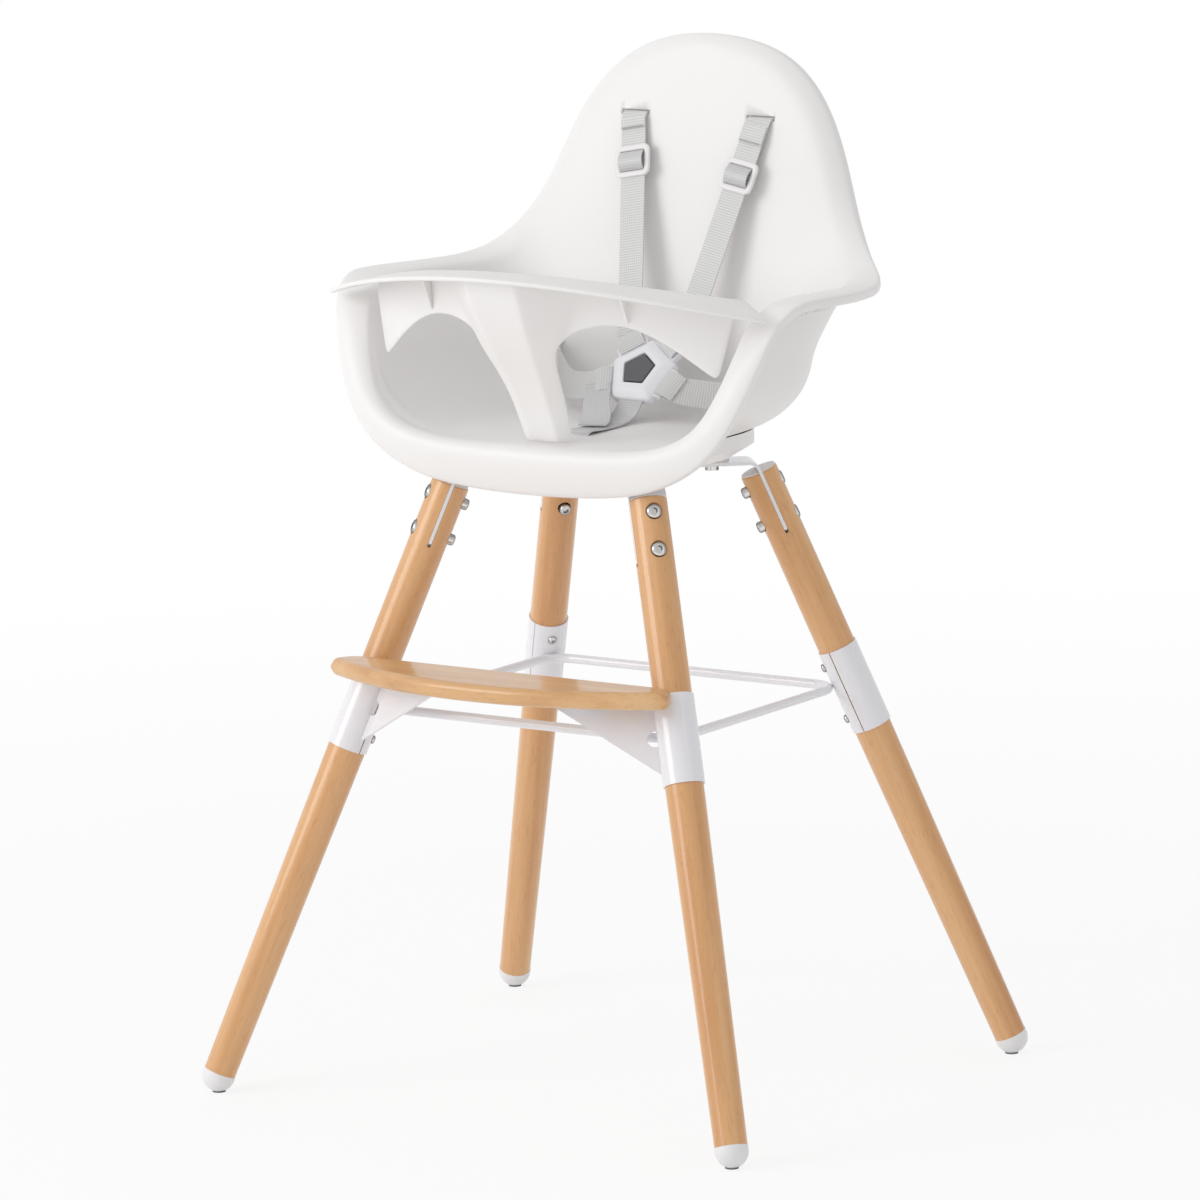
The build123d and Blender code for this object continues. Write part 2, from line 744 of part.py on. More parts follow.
def back_slab(near, away):
    """Slab parallel to the backrest, between two distances behind the child's side."""
    low, high = arm_height - far, arm_height + far
    corners = [(back_line(low) + near, low), (back_line(high) + near, high)]
    corners += [(back_line(high) + away, high), (back_line(low) + away, low)]
    return prism(side_view(make_face(Polyline(*corners, close=True))), far)


inside = bucket(0)
outside = bucket(shell_wall)
lip = kept - under_lip
lip &= prism(front_view(front_outline()), far)
lip &= extrude(arm_outline(), amount=arm_height)
shell = (outside & kept) + lip
shell -= inside
panel_view = back_outline(0, arm_height - shell_wall / 2)
hollow_view = back_outline(shell_wall, arm_height - 3 * shell_wall)
panel = prism(front_view(panel_view), far) & back_slab(back_step, back_depth)
panel -= prism(front_view(hollow_view), far) & back_slab(back_step + shell_wall, far)
shell += panel

# Slots for the straps and for the bumper's tongue
post_foot_middle = post_foot_front + post_foot_depth / 2
for side in (1, -1):
    shoulder = Pos(side * shoulder_half, back_line(shoulder_height), shoulder_height)
    shell -= shoulder * Box(slot_length, far / 4, slot_height)
    waist = Pos(side * waist_half, rear_line(waist_half, waist_height), waist_height)
    shell -= waist * Box(slot_height, far / 8, slot_length)
shell -= Pos(0, crotch_slot_y, seat_floor_height) * Box(slot_length, slot_height, far / 20)
tongue_slot = Box(tongue_width + 2 * free, tongue_depth + 2 * free, far / 20)
shell -= Pos(0, post_foot_middle, seat_floor_height) * tongue_slot


# Base pan: a moulded pan under the seat, with a boss over each cross bar bolt
def pan_solid(inset):
    """Outside of the pan, or its hollow when inset is the wall."""
    bottom = pan_bottom_height + inset
    top = seat_floor_height + far / 20
    faces = [section(pan_low_half_width - inset, pan_low_rear - inset, pan_low_front - inset, bottom)]
    for height in (pan_shoulder_height, top):
        faces.append(section(pan_half_width - inset, pan_rear - inset, pan_front - inset, height))
    return loft(faces, ruled=True)


def boss_places():
    """Middles of the four bosses, along the cross bars."""
    across = Vector(top_half_x, top_half_y, 0).normalized() * boss_reach
    return [(x * across.X, y * across.Y) for x, y in LEGS.values()]


pan = pan_solid(0) - pan_solid(pan_wall)
boss_length = boss_top_height - bar_top_height
screw_places = [(x * post_x, y * post_y) for x, y in LEGS.values()]
for x, y in boss_places():
    boss = Cylinder(boss_radius, boss_length, align=BASE)
    hole = Cylinder(base_bolt_radius + slip, boss_length - pan_wall, align=BASE)
    pan = pan + Pos(x, y, bar_top_height) * boss - Pos(x, y, bar_top_height) * hole
pan_floor = pan_bottom_height + pan_wall
for x, y in screw_places:
    pan -= Pos(x, y, pan_bottom_height) * Cylinder(base_screw_radius + slip, 4 * pan_wall)
    post_length = seat_floor_height - shell_wall / 2 - pan_floor
    shell += Pos(x, y, pan_floor) * Cylinder(post_radius, post_length, align=BASE)
    shell -= Pos(x, y, pan_floor) * Cylinder(base_screw_radius + slip, base_screw_bite, align=BASE)
pan -= outside
pan = pan.solids().sort_by(SortBy.VOLUME)[-1]
save("seat_base", pan)
save("seat_shell", shell)


def base_bolt(x, y):
    """Bolt up through a cross bar into a boss."""
    bolt = headed_screw(base_bolt_head_radius, base_bolt_head_height, base_bolt_radius, base_bolt_length)
    return Pos(x, y, bar_top_height - bar_thickness) * bolt


def base_screw(x, y):
    """Screw up through the pan into a post of the seat shell."""
    length = pan_wall + base_screw_bite - 2 * free
    screw = headed_screw(base_screw_head_radius, base_screw_head_height, base_screw_radius, length)
    return Pos(x, y, pan_bottom_height) * screw


save("base_bolts", *[base_bolt(x, y) for x, y in boss_places()])
save("base_screws", *[base_screw(x, y) for x, y in screw_places])

# Bumper: crowned tray, curved wall with two leg arches, and the post between the legs
crown_radius = (tray_front_half**2 + tray_end_drop**2) / (2 * tray_end_drop)
crown_centre = tray_top_height - crown_radius


def crown(depth):
    """Everything below the tray's top, less a depth."""
    return Pos(0, 0, crown_centre) * Rot(90, 0, 0) * Cylinder(crown_radius - depth, 2 * far)


tray_corners = [(tray_front_half, tray_corner_y), (tray_rear_half, tray_rear_corner_y)]
tray_corners += [(-x, y) for x, y in reversed(tray_corners)]
tray_front = ThreePointArc(tray_corners[3], (0, tray_front_y), tray_corners[0])
tray_rear = ThreePointArc(tray_corners[1], (0, tray_rear_y), tray_corners[2])
tray_end = Line(tray_corners[0], tray_corners[1])
tray_start = Line(tray_corners[2], tray_corners[3])
tray_plan = make_face([tray_front.edge(), tray_end.edge(), tray_rear.edge(), tray_start.edge()])
tray = extrude(Pos(0, 0, tray_top_height - far / 2) * tray_plan, far) & (crown(0) - crown(tray_thickness))

wall_centre = (0, bumper_wall_apex + bumper_wall_radius)
wall_plan = Pos(*wall_centre) * (Circle(bumper_wall_radius) - Circle(bumper_wall_radius - bumper_wall))
wall_view = Polyline(
    (0, seat_floor_height), (bumper_end_half, seat_floor_height), (bumper_end_half, bumper_end_height),
    (bumper_top_half, arm_height), (bumper_top_half, tray_top_height), (0, tray_top_height), close=True,
)
arch_points = [(bumper_end_half, bumper_end_height)]
arch_points += [(across, arch_peak_height - drop) for across, drop in arch_edge]
arch = Spline(*arch_points)
arch_low = seat_floor_height - bumper_wall
arch_corners = [(0, arch_points[-1][1]), (0, arch_low), (bumper_end_half, arch_low)]
arch_rest = Polyline(arch_points[-1], *arch_corners, arch_points[0])
wall_half = make_face(wall_view) - make_face([arch.edge()] + arch_rest.edges())
wall = extrude(wall_plan, amount=tray_top_height) & prism(front_view(mirrored(wall_half)), far)
wall &= Pos(0, -far, 0) * Box(2 * far, 2 * far, 4 * far)


def post_solid(inset):
    """The post between the legs as a tapering channel: inset is its wall for the hollow behind it."""
    low = seat_floor_height + free
    faces = []
    for share, widths, forwards in zip(post_shares, post_widths, post_forward):
        front, rear = post_foot_front - forwards[0] + inset, post_foot_front - forwards[1] + 2 * inset
        narrow, wide = widths[0] - inset / 2, widths[1] - 1.5 * inset
        corners = [(narrow, front), (wide, rear), (-wide, rear), (-narrow, front)]
        height = low + share * (tray_top_height - low)
        faces.append(Pos(0, 0, height) * make_face(Polyline(*corners, close=True)))
    return loft(faces, ruled=True)


post = post_solid(0) - post_solid(post_wall)
gussets = []
for side in (1, -1):
    wall_y = wall_centre[1] - math.sqrt(bumper_wall_radius**2 - gusset_half**2)
    root, tip = wall_y + bumper_wall / 2, wall_y - gusset_reach
    corners = [(root, gusset_low_height), (root, tray_top_height)]
    corners += [(tip, tray_top_height), (tip, tray_top_height - gusset_edge)]
    web = prism(side_view(make_face(Polyline(*corners, close=True))), gusset_sheet / 2)
    gussets.append(Pos(side * gusset_half, 0, 0) * web)
tongue_top = seat_floor_height + free
tongue = Pos(0, post_foot_middle, tongue_top) * Box(tongue_width, tongue_depth, 2 * tongue_drop)
foot_plate = Box(2 * post_widths[0][0], post_foot_depth, post_wall, align=BASE)
foot_plate = Pos(0, post_foot_middle, tongue_top) * foot_plate
skirt = (wall + post + gussets[0] + gussets[1]) & crown(tray_thickness / 2)
bumper = tray + skirt + foot_plate + tongue
save("bumper", bumper)


# Racks under the arms that hold an accessory tray
def tray_rack(side):
    """Toothed strip under an arm."""
    top = arm_height - shell_wall
    points = [(rack_front, top), (rack_front, top - rack_height)]
    for tooth in range(int(rack_length / rack_tooth_pitch)):
        start = rack_front + tooth * rack_tooth_pitch
        points.append((start + rack_tooth_pitch / 2, top - rack_height + rack_tooth_depth))
        points.append((start + rack_tooth_pitch, top - rack_height))
    points.append((points[-1][0], top))
    strip = prism(side_view(make_face(Polyline(*points, close=True))), rack_sheet / 2)
    return Pos(side * rack_half, 0, 0) * strip


for name, side in SIDES.items():
    save(f"tray_rack_{name}", tray_rack(side))


# Harness: the buckle's own frame leans back, as it lies on the seat
lean = math.radians(buckle_lean)
buckle_normal = Vector(0, -math.cos(lean), math.sin(lean))
buckle_x = Vector(1, 0, 0)
buckle_y_dir = buckle_normal.cross(buckle_x)
buckle_centre = Vector(0, buckle_y, buckle_height)
buckle = Plane(origin=buckle_centre, x_dir=buckle_x, z_dir=buckle_normal).location
apothem = buckle_radius * math.cos(math.radians(36))
EDGES = {"shoulder_left": 54, "shoulder_right": 126, "waist_left": 342, "waist_right": 198, "crotch": 270}


def pentagon(radius, low, high):
    """Five-sided prism in the buckle's frame, one corner up."""
    return extrude(Pos(0, 0, low) * RegularPolygon(radius, 5, rotation=90), amount=high - low)


def edge_slot(angle, width, thickness, start, end):
    """Flat bar out through the middle of one of the buckle's edges."""
    bar = Pos((start + end) / 2, 0, 0) * Box(end - start, width, thickness)
    return Rot(0, 0, angle) * bar


tongue_start = apothem - tongue_insert
cuts = []
for edge, angle in EDGES.items():
    if edge == "crotch":
        cut_width, cut_thickness = strap_width, strap_thickness
    else:
        cut_width, cut_thickness = tongue_plate_width, tongue_plate_thickness
    cuts.append(edge_slot(angle, cut_width + 2 * free, cut_thickness + 2 * free, tongue_start - free, far))

button_flange_bottom = button_travel + free
button_flange_top = button_flange_bottom + button_flange
well_radius = button_flange_radius + free / math.cos(math.radians(36))
well_top = button_flange_top + free
front_half = pentagon(buckle_radius, 0, buckle_front_depth)
front_half = fillet(front_half.edges().group_by(Axis.Z)[-1], buckle_edge_radius)
front_half -= pentagon(well_radius, 0, well_top)
front_half -= pentagon(button_radius + free, 0, buckle_front_depth)
back_half = pentagon(buckle_radius, -buckle_back_depth, 0)
back_half = fillet(back_half.edges().group_by(Axis.Z)[0], buckle_edge_radius)
back_half -= Pos(0, 0, -spring_seat_depth) * Cylinder(spring_radius + 2 * spring_wire, far, align=BASE)
for cut in cuts:
    front_half -= cut
    back_half -= cut
save("buckle_front", buckle * front_half)
save("buckle_back", buckle * back_half)
button = pentagon(button_flange_radius, button_flange_bottom, button_flange_top)
cap = pentagon(button_radius, button_flange_top, button_top)
button += fillet(cap.edges().group_by(Axis.Z)[-1], buckle_edge_radius / 2)
save("buckle_button", buckle * button)

# Return spring under the button, between the back half and the button's flange
spring_low = -spring_seat_depth + spring_wire + slip
spring_high = button_flange_bottom - spring_wire - slip
spring_pitch = (spring_high - spring_low) / spring_turns
coil = Pos(0, 0, spring_low) * Helix(spring_pitch, spring_high - spring_low, spring_radius)
coil_start = Plane(origin=coil @ 0, z_dir=coil % 0)
spring = sweep(coil_start * Circle(spring_wire), path=coil)
save("button_spring", buckle * spring)


def edge_out(edge):
    """Direction out of the buckle through one edge."""
    angle = math.radians(EDGES[edge])
    return buckle_x * math.cos(angle) + buckle_y_dir * math.sin(angle)


def edge_along(edge):
    """Direction along one edge of the buckle."""
    return buckle_normal.cross(edge_out(edge))


head_start = apothem + free
head_end = head_start + tongue_head_length


def strap_tongue(edge):
    """Tongue in the buckle with a head that grips the strap's end."""
    angle = EDGES[edge]
    plate = edge_slot(angle, tongue_plate_width, tongue_plate_thickness, tongue_start, head_start)
    head = edge_slot(angle, tongue_head_width, tongue_head_thickness, head_start, head_end)
    grip = edge_slot(angle, strap_width + free, strap_thickness + free, head_end - strap_bite, far)
    return buckle * (plate + head - grip)


def ribbon(stations):
    """Flat webbing through stations, each a point, a width direction and a travel direction."""
    faces = []
    for point, across, travel in stations:
        travel = travel.normalized()
        width = (across - travel * across.dot(travel)).normalized()
        plane = Plane(origin=point, x_dir=width, z_dir=travel)
        faces.append(plane * Rectangle(strap_width, strap_thickness))
    return loft(faces, ruled=True)


def mitre(first, second):
    """Travel direction half way through a bend."""
    return first.normalized() + second.normalized()


def strap_root(edge, start):
    """First two stations of a strap, straight out of the buckle's edge from a start."""
    out = edge_out(edge)
    along = edge_along(edge)
    if along.X + along.Z < 0:
        along = -along
    return [(buckle_centre + out * reach, along, out) for reach in (start, head_end + free)]


def shoulder_slot(side):
    """Point where a shoulder strap enters its slot, on the child's side of the backrest."""
    return Vector(side * shoulder_half, back_line(shoulder_height) - strap_thickness, shoulder_height)


def shoulder_run(side):
    """Ends of the straight run of a shoulder strap: at the slot and at the tongue."""
    edge = "shoulder_left" if side > 0 else "shoulder_right"
    return shoulder_slot(side), buckle_centre + edge_out(edge) * (head_end + strap_bend)


def shoulder_point(side, share):
    """Point on the straight run, as a share of the way down from the slot."""
    slot, end = shoulder_run(side)
    return slot + (end - slot) * share


def shoulder_strap(side):
    """Shoulder strap from its tongue, up the backrest and through the slot."""
    edge = "shoulder_left" if side > 0 else "shoulder_right"
    slot, end = shoulder_run(side)
    run = slot - end
    wide = Vector(1, 0, 0)
    rearward = Vector(0, 1, 0)
    tail = slot + rearward * (shell_wall + strap_tail)
    stations = strap_root(edge, head_end - strap_bite + slip)
    for share in (strap_straight_share, strap_turn_share):
        stations.append((shoulder_point(side, share), wide, run))
    stations += [(slot, wide, mitre(run, rearward)), (tail, wide, rearward)]
    return ribbon(stations), tail


def waist_strap(side):
    """Waist strap from its tongue to the slot low in the rear wall."""
    edge = "waist_left" if side > 0 else "waist_right"
    rearward = Vector(0, 1, 0)
    slot = Vector(side * waist_half, rear_line(waist_half, waist_height) - strap_tail, waist_height)
    tail = slot + rearward * (shell_wall + 2 * strap_tail)
    stations = strap_root(edge, head_end - strap_bite + slip)
    run = slot - stations[-1][0]
    return ribbon(stations + [(slot, UP, mitre(run, rearward)), (tail, UP, rearward)]), tail


def crotch_strap():
    """Crotch strap from the buckle's lower edge along the seat and down through the floor."""
    wide = Vector(1, 0, 0)
    stations = strap_root("crotch", apothem - strap_bite)
    rest = Vector(0, crotch_slot_y + strap_bite, seat_floor_height + strap_bite)
    slot = Vector(0, crotch_slot_y, seat_floor_height - shell_wall / 2)
    tail = slot - UP * (shell_wall / 2 + strap_tail / 2)
    run = rest - stations[-1][0]
    stations.append((rest, wide, mitre(run, slot - rest)))
    stations.append((slot, wide, mitre(slot - rest, -UP)))
    stations.append((tail, wide, -UP))
    return ribbon(stations), tail


def anchor(point, travel, across):
    """Flat bar sewn to a strap's tail behind its slot."""
    bar = Box(anchor_length, anchor_width, anchor_thickness, align=BASE)
    return Plane(origin=point, x_dir=across, z_dir=travel) * bar


anchors = []
for name, side in SIDES.items():
    strap, tail = shoulder_strap(side)
    save(f"shoulder_strap_{name}", strap)
    anchors.append(anchor(tail, Vector(0, 1, 0), Vector(1, 0, 0)))
    strap, tail = waist_strap(side)
    save(f"waist_strap_{name}", strap)
    anchors.append(anchor(tail, Vector(0, 1, 0), UP))
    save(f"shoulder_tongue_{name}", strap_tongue(f"shoulder_{name}"))
    save(f"waist_tongue_{name}", strap_tongue(f"waist_{name}"))
strap, tail = crotch_strap()
save("crotch_strap", strap)
anchors.append(anchor(tail, -UP, Vector(1, 0, 0)))
save("strap_anchors", *anchors)


def adjuster(side):
    """Strap adjuster: a flat loop round the straight run, with two windows over the webbing."""
    centre = shoulder_point(side, adjuster_shares[side])
    travel = (shoulder_point(side, 1) - shoulder_point(side, 0)).normalized()
    wide = Vector(1, 0, 0)
    across = (wide - travel * wide.dot(travel)).normalized()
    body = Box(adjuster_width, adjuster_thickness, adjuster_length)
    body = fillet(body.edges().filter_by(Axis.Y), adjuster_thickness / 2)
    body -= Box(strap_width + 2 * free, strap_thickness + 2 * free, 2 * adjuster_length)
    for shift in (1, -1):
        body -= Pos(0, -adjuster_thickness, shift * adjuster_window) * Box(
            strap_width, 2 * adjuster_thickness, adjuster_window
        )
    return Plane(origin=centre, x_dir=across, z_dir=travel) * body


for name, side in SIDES.items():
    save(f"strap_adjuster_{name}", adjuster(side))
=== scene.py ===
import math

import bmesh
import bpy
from mathutils import Matrix, Vector


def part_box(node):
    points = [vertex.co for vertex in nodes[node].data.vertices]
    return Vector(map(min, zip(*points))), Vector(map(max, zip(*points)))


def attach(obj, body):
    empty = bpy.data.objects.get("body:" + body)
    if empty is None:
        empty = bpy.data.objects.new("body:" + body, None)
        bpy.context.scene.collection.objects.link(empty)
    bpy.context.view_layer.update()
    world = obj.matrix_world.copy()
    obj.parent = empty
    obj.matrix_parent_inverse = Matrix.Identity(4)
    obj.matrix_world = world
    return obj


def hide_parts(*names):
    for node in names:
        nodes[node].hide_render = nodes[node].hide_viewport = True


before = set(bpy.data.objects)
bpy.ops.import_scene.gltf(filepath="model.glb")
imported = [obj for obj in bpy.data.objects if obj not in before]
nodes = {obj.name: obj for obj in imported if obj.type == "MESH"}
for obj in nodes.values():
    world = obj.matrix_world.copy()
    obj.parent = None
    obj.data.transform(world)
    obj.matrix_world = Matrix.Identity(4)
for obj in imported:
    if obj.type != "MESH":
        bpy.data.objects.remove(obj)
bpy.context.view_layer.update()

# Wooden legs: turned beech in two lengths, satin lacquered. The grain runs up each raked leg,
# with fine growth bands and the short dark flecks that beech shows. The upper length is
# slotted at its top for a cross bar.


class Wire:
    """A shader socket that can be used in Python expressions."""

    def __init__(self, tree, socket=None):
        self.tree = tree
        self.socket = socket

    def node(self, kind, settings, inputs, output=0):
        """Add a node: its settings are set first, then the values or links of its sockets."""
        made = self.tree.nodes.new(kind)
        for key, value in settings.items():
            if key == "stops":
                ramp = made.color_ramp
                while len(ramp.elements) < len(value):
                    ramp.elements.new(1.0)
                for element, (place, colour) in zip(ramp.elements, value):
                    element.position = place
                    element.color = (*colour, 1.0)
            else:
                setattr(made, key, value)
        for key, value in inputs.items():
            if isinstance(value, Wire):
                self.tree.links.new(value.socket, made.inputs[key])
            else:
                made.inputs[key].default_value = value
        return Wire(self.tree, made.outputs[output])

    def maths(self, operation, first, second=0.0):
        return self.node("ShaderNodeMath", {"operation": operation}, {0: first, 1: second})

    def __add__(self, other):
        return self.maths("ADD", self, other)

    def __radd__(self, other):
        return self.maths("ADD", other, self)

    def __sub__(self, other):
        return self.maths("SUBTRACT", self, other)

    def __rsub__(self, other):
        return self.maths("SUBTRACT", other, self)

    def __mul__(self, other):
        return self.maths("MULTIPLY", self, other)

    def __rmul__(self, other):
        return self.maths("MULTIPLY", other, self)

    def sine(self):
        return self.maths("SINE", self)

    def noise(self, scale, detail=2.0, roughness=0.5):
        settings = {"noise_dimensions": "3D"}
        inputs = {"Vector": self, "Scale": scale, "Detail": detail, "Roughness": roughness}
        return self.node("ShaderNodeTexNoise", settings, inputs)

    def ramp(self, *stops):
        return self.node("ShaderNodeValToRGB", {"stops": stops}, {"Fac": self})

    def placed(self, turn=(0, 0, 0), scale=(1, 1, 1)):
        return self.node("ShaderNodeMapping", {}, {"Vector": self, "Rotation": turn, "Scale": scale})

    def tint(self, first, second):
        """Mix two colours by this value; the node's sockets 6 and 7 are its colours."""
        return self.node("ShaderNodeMix", {"data_type": "RGBA"}, {0: self, 6: first, 7: second}, 2)

    def bump(self, strength, distance):
        return self.node("ShaderNodeBump", {}, {"Height": self, "Strength": strength, "Distance": distance})


def linear(red, green, blue):
    """A colour as seen on screen, 0 to 255, for a shader socket."""
    levels = [value / 255 for value in (red, green, blue)]
    return [v / 12.92 if v < 0.04045 else ((v + 0.055) / 1.055) ** 2.4 for v in levels]


def opaque(colour):
    """A colour as seen on screen, for a socket that also takes alpha."""
    return [*linear(*colour), 1]


def new_material(name):
    """An empty finish: its material, the piece's own coordinates, and its main shader."""
    material = bpy.data.materials.new(name)
    material.use_nodes = True
    tree = material.node_tree
    shader = tree.nodes["Principled BSDF"]
    place = Wire(tree).node("ShaderNodeTexCoord", {}, {}, "Object")
    return material, place, shader


def feed(shader, **inputs):
    """Link or set the main shader's sockets; an underscore stands for a space."""
    for key, value in inputs.items():
        socket = shader.inputs[key.replace("_", " ")]
        if isinstance(value, Wire):
            value.tree.links.new(value.socket, socket)
        else:
            socket.default_value = value


band_scale, fibre_scale, fleck_scale = (26, 26, 1.3), (420, 420, 9), (330, 330, 52)
fibre_colour, fibre_share = (194, 134, 86), 0.30
fleck_colour, fleck_share = (164, 106, 64), 0.16
tone_stops = (0.30, 0.48, 0.66)


def beech(name, axis, tones):
    """Lacquered beech whose grain runs along an axis, in three tones from dark to light."""
    material, place, shader = new_material(name)
    turn = Vector(axis).rotation_difference(Vector((0, 0, 1))).to_euler()
    along = place.placed(turn=turn)
    bands = along.placed(scale=band_scale).noise(2.0, detail=4.0, roughness=0.55)
    fibre = along.placed(scale=fibre_scale).noise(1.0, detail=2.0, roughness=0.6)
    flecks = along.placed(scale=fleck_scale).noise(1.6, detail=1.0, roughness=0.4)
    fleck_mask = flecks.ramp((0.60, (0, 0, 0)), (0.70, (1, 1, 1)))
    body = bands.ramp(*[(stop, linear(*tone)) for stop, tone in zip(tone_stops, tones)])
    grained = (fibre * fibre_share).tint(body, opaque(fibre_colour))
    flecked = (fleck_mask * fleck_share).tint(grained, opaque(fleck_colour))
    relief = (fibre * 0.6 + flecks * 0.4).bump(strength=0.10, distance=0.0004)
    feed(shader, Base_Color=flecked, Roughness=0.30 + fibre * 0.14, Normal=relief)
    feed(shader, Coat_Weight=0.6, Coat_Roughness=0.09)
    return material


def dress(node_names, material):
    """Give CAD nodes a finish."""
    for node_name in node_names:
        mesh = nodes[node_name].data
        mesh.materials.clear()
        mesh.materials.append(material)


def node_middle(node_name):
    """Middle of a CAD node's box."""
    low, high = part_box(node_name)
    return (low + high) / 2


leg_tones = [(205, 148, 94), (221, 168, 112), (231, 183, 129)]
leg_names = ["front_left", "front_right", "back_left", "back_right"]
for leg in leg_names:
    upper, lower = f"leg_upper_{leg}", f"leg_lower_{leg}"
    grain = (node_middle(upper) - node_middle(lower)).normalized()
    dress([upper, lower], beech(f"beech_{leg}", grain, leg_tones))

# Feet and leg caps: domed white plastic feet pushed into the leg ends, each on a small grey
# rubber pad, and thin pale discs that seal the end grain at the leg tops.
cloud_step = 4


def plastic(name, colour, roughness, texture):
    """Satin moulded plastic with a faint spark-eroded texture."""
    material, place, shader = new_material(name)
    fine = place.noise(2600.0, detail=2.0, roughness=0.6)
    broad = place.noise(9.0, detail=3.0, roughness=0.5)
    darker = [value - cloud_step for value in colour]
    shade = (broad * 0.5).tint(opaque(colour), opaque(darker))
    relief = fine.bump(strength=texture, distance=0.00012)
    feed(shader, Base_Color=shade, Roughness=roughness + broad * 0.08, Normal=relief)
    feed(shader, IOR=1.46)
    return material


foot_plastic = plastic("foot_plastic", (236, 235, 237), roughness=0.34, texture=0.05)
dress([f"foot_cap_{leg}" for leg in leg_names], foot_plastic)
dress(["leg_top_caps"], plastic("cap_plastic", (224, 220, 216), roughness=0.42, texture=0.05))
dress(["foot_pads"], plastic("foot_rubber", (120, 118, 116), roughness=0.75, texture=0.3))

# Painted steel: sleeves over the leg joints, the bent stretcher ring, the flat cross bars and
# the footrest brackets, all powder coated in a slightly cool glossy white.
coat_light, coat_dark = (238, 237, 241), (230, 229, 234)


def powder_coat(name):
    """Glossy baked paint with a faint orange peel."""
    material, place, shader = new_material(name)
    peel = place.noise(900.0, detail=1.0, roughness=0.4)
    cloud = place.noise(14.0, detail=2.0, roughness=0.5)
    shade = (cloud * 0.6).tint(opaque(coat_light), opaque(coat_dark))
    relief = peel.bump(strength=0.05, distance=0.0002)
    feed(shader, Base_Color=shade, Roughness=0.20 + cloud * 0.08, Normal=relief)
    feed(shader, Coat_Weight=0.7, Coat_Roughness=0.05)
    return material


white_steel = powder_coat("white_powder_coat")
steel_nodes = ["stretcher_ring", "cross_bar_upper", "cross_bar_lower"]
steel_nodes += [f"footrest_bracket_{side}" for side in ("left", "right")]
steel_nodes += [f"sleeve_{half}_{leg}" for half in ("outer", "inner") for leg in leg_names]
dress(steel_nodes, white_steel)

# Bolts, nuts and screws: bright plated steel, polished on the heads. Domed socket bolts and
# sleeve nuts hold the bars in the legs; small screws close the sleeves and hold the board. The
# spring under the buckle's button is of the same steel.
steel_face, steel_painted_reflection = (238, 237, 236), (48, 46, 44)
smear_scale = (300, 300, 60)


def plated_steel(name):
    """Polished plating with faint smears; its colour darkens where it turns away from the view, a painted
    dark reflection.
    """
    material, place, shader = new_material(name)
    smear = place.placed(scale=smear_scale).noise(1.0, detail=2.0, roughness=0.6)
    # Painted reflection: the facing value darkens the colour toward the rims, in place of dark surroundings
    # to reflect.
    edge = place.node("ShaderNodeLayerWeight", {}, {"Blend": 0.45}, "Facing")
    shade = (edge * 1.3 + smear * 0.15).tint(opaque(steel_face), opaque(steel_painted_reflection))
    feed(shader, Base_Color=shade, Roughness=0.10 + smear * 0.12, Metallic=1.0)
    return material


bright_steel = plated_steel("bright_plated_steel")
dress(["leg_bolts", "leg_nuts", "base_bolts", "sleeve_screws", "sleeve_nuts"], bright_steel)
dress(["footrest_screws", "base_screws", "button_spring"], bright_steel)

# Footrest: one lacquered beech board with its grain from side to side. Its front edge is
# rounded over, and it is screwed to the two brackets from below.
board_tones = [(205, 155, 101), (220, 174, 119), (230, 189, 136)]
dress(["footrest_board"], beech("beech_footrest", (1, 0, 0), board_tones))

# Seat: one white plastic moulding. A squared oval bucket runs up into a leaning backrest; its
# rim rolls over into broad arms at the sides and a wide flange round the leg opening. Sizes
# are in metres.
shell_wall = 0.004
floor_height = 0.588
corner_height = 0.07
floor_half, wall_half = 0.095, 0.188
floor_rear, wall_rear = 0.088, 0.121
side_flare = 0.22
section_power = 3
front_share, front_share_gain = 0.84, 0.14

# The rim folds down under the arms and back behind the backrest and the flange.
rim_fold, fold_near, fold_far = 0.006, 0.5, 1.6
back_start, back_blend, back_droop = 0.725, 0.03, 0.2
flange_start, flange_blend = 0.715, 0.04
flange_bulge, back_bulge = Vector((0, -0.004, 0.003)), Vector((0, -0.001, 0))
rim_crown = Vector((0, 0, 0.001))
wall_shares = (0.12, 0.4, 0.7, 1.0)
lip_shares = (0.92, 0.84, 0.76, 0.68)
corner_shares = (0.85, 0.7, 0.54, 0.38, 0.22, 0.08)

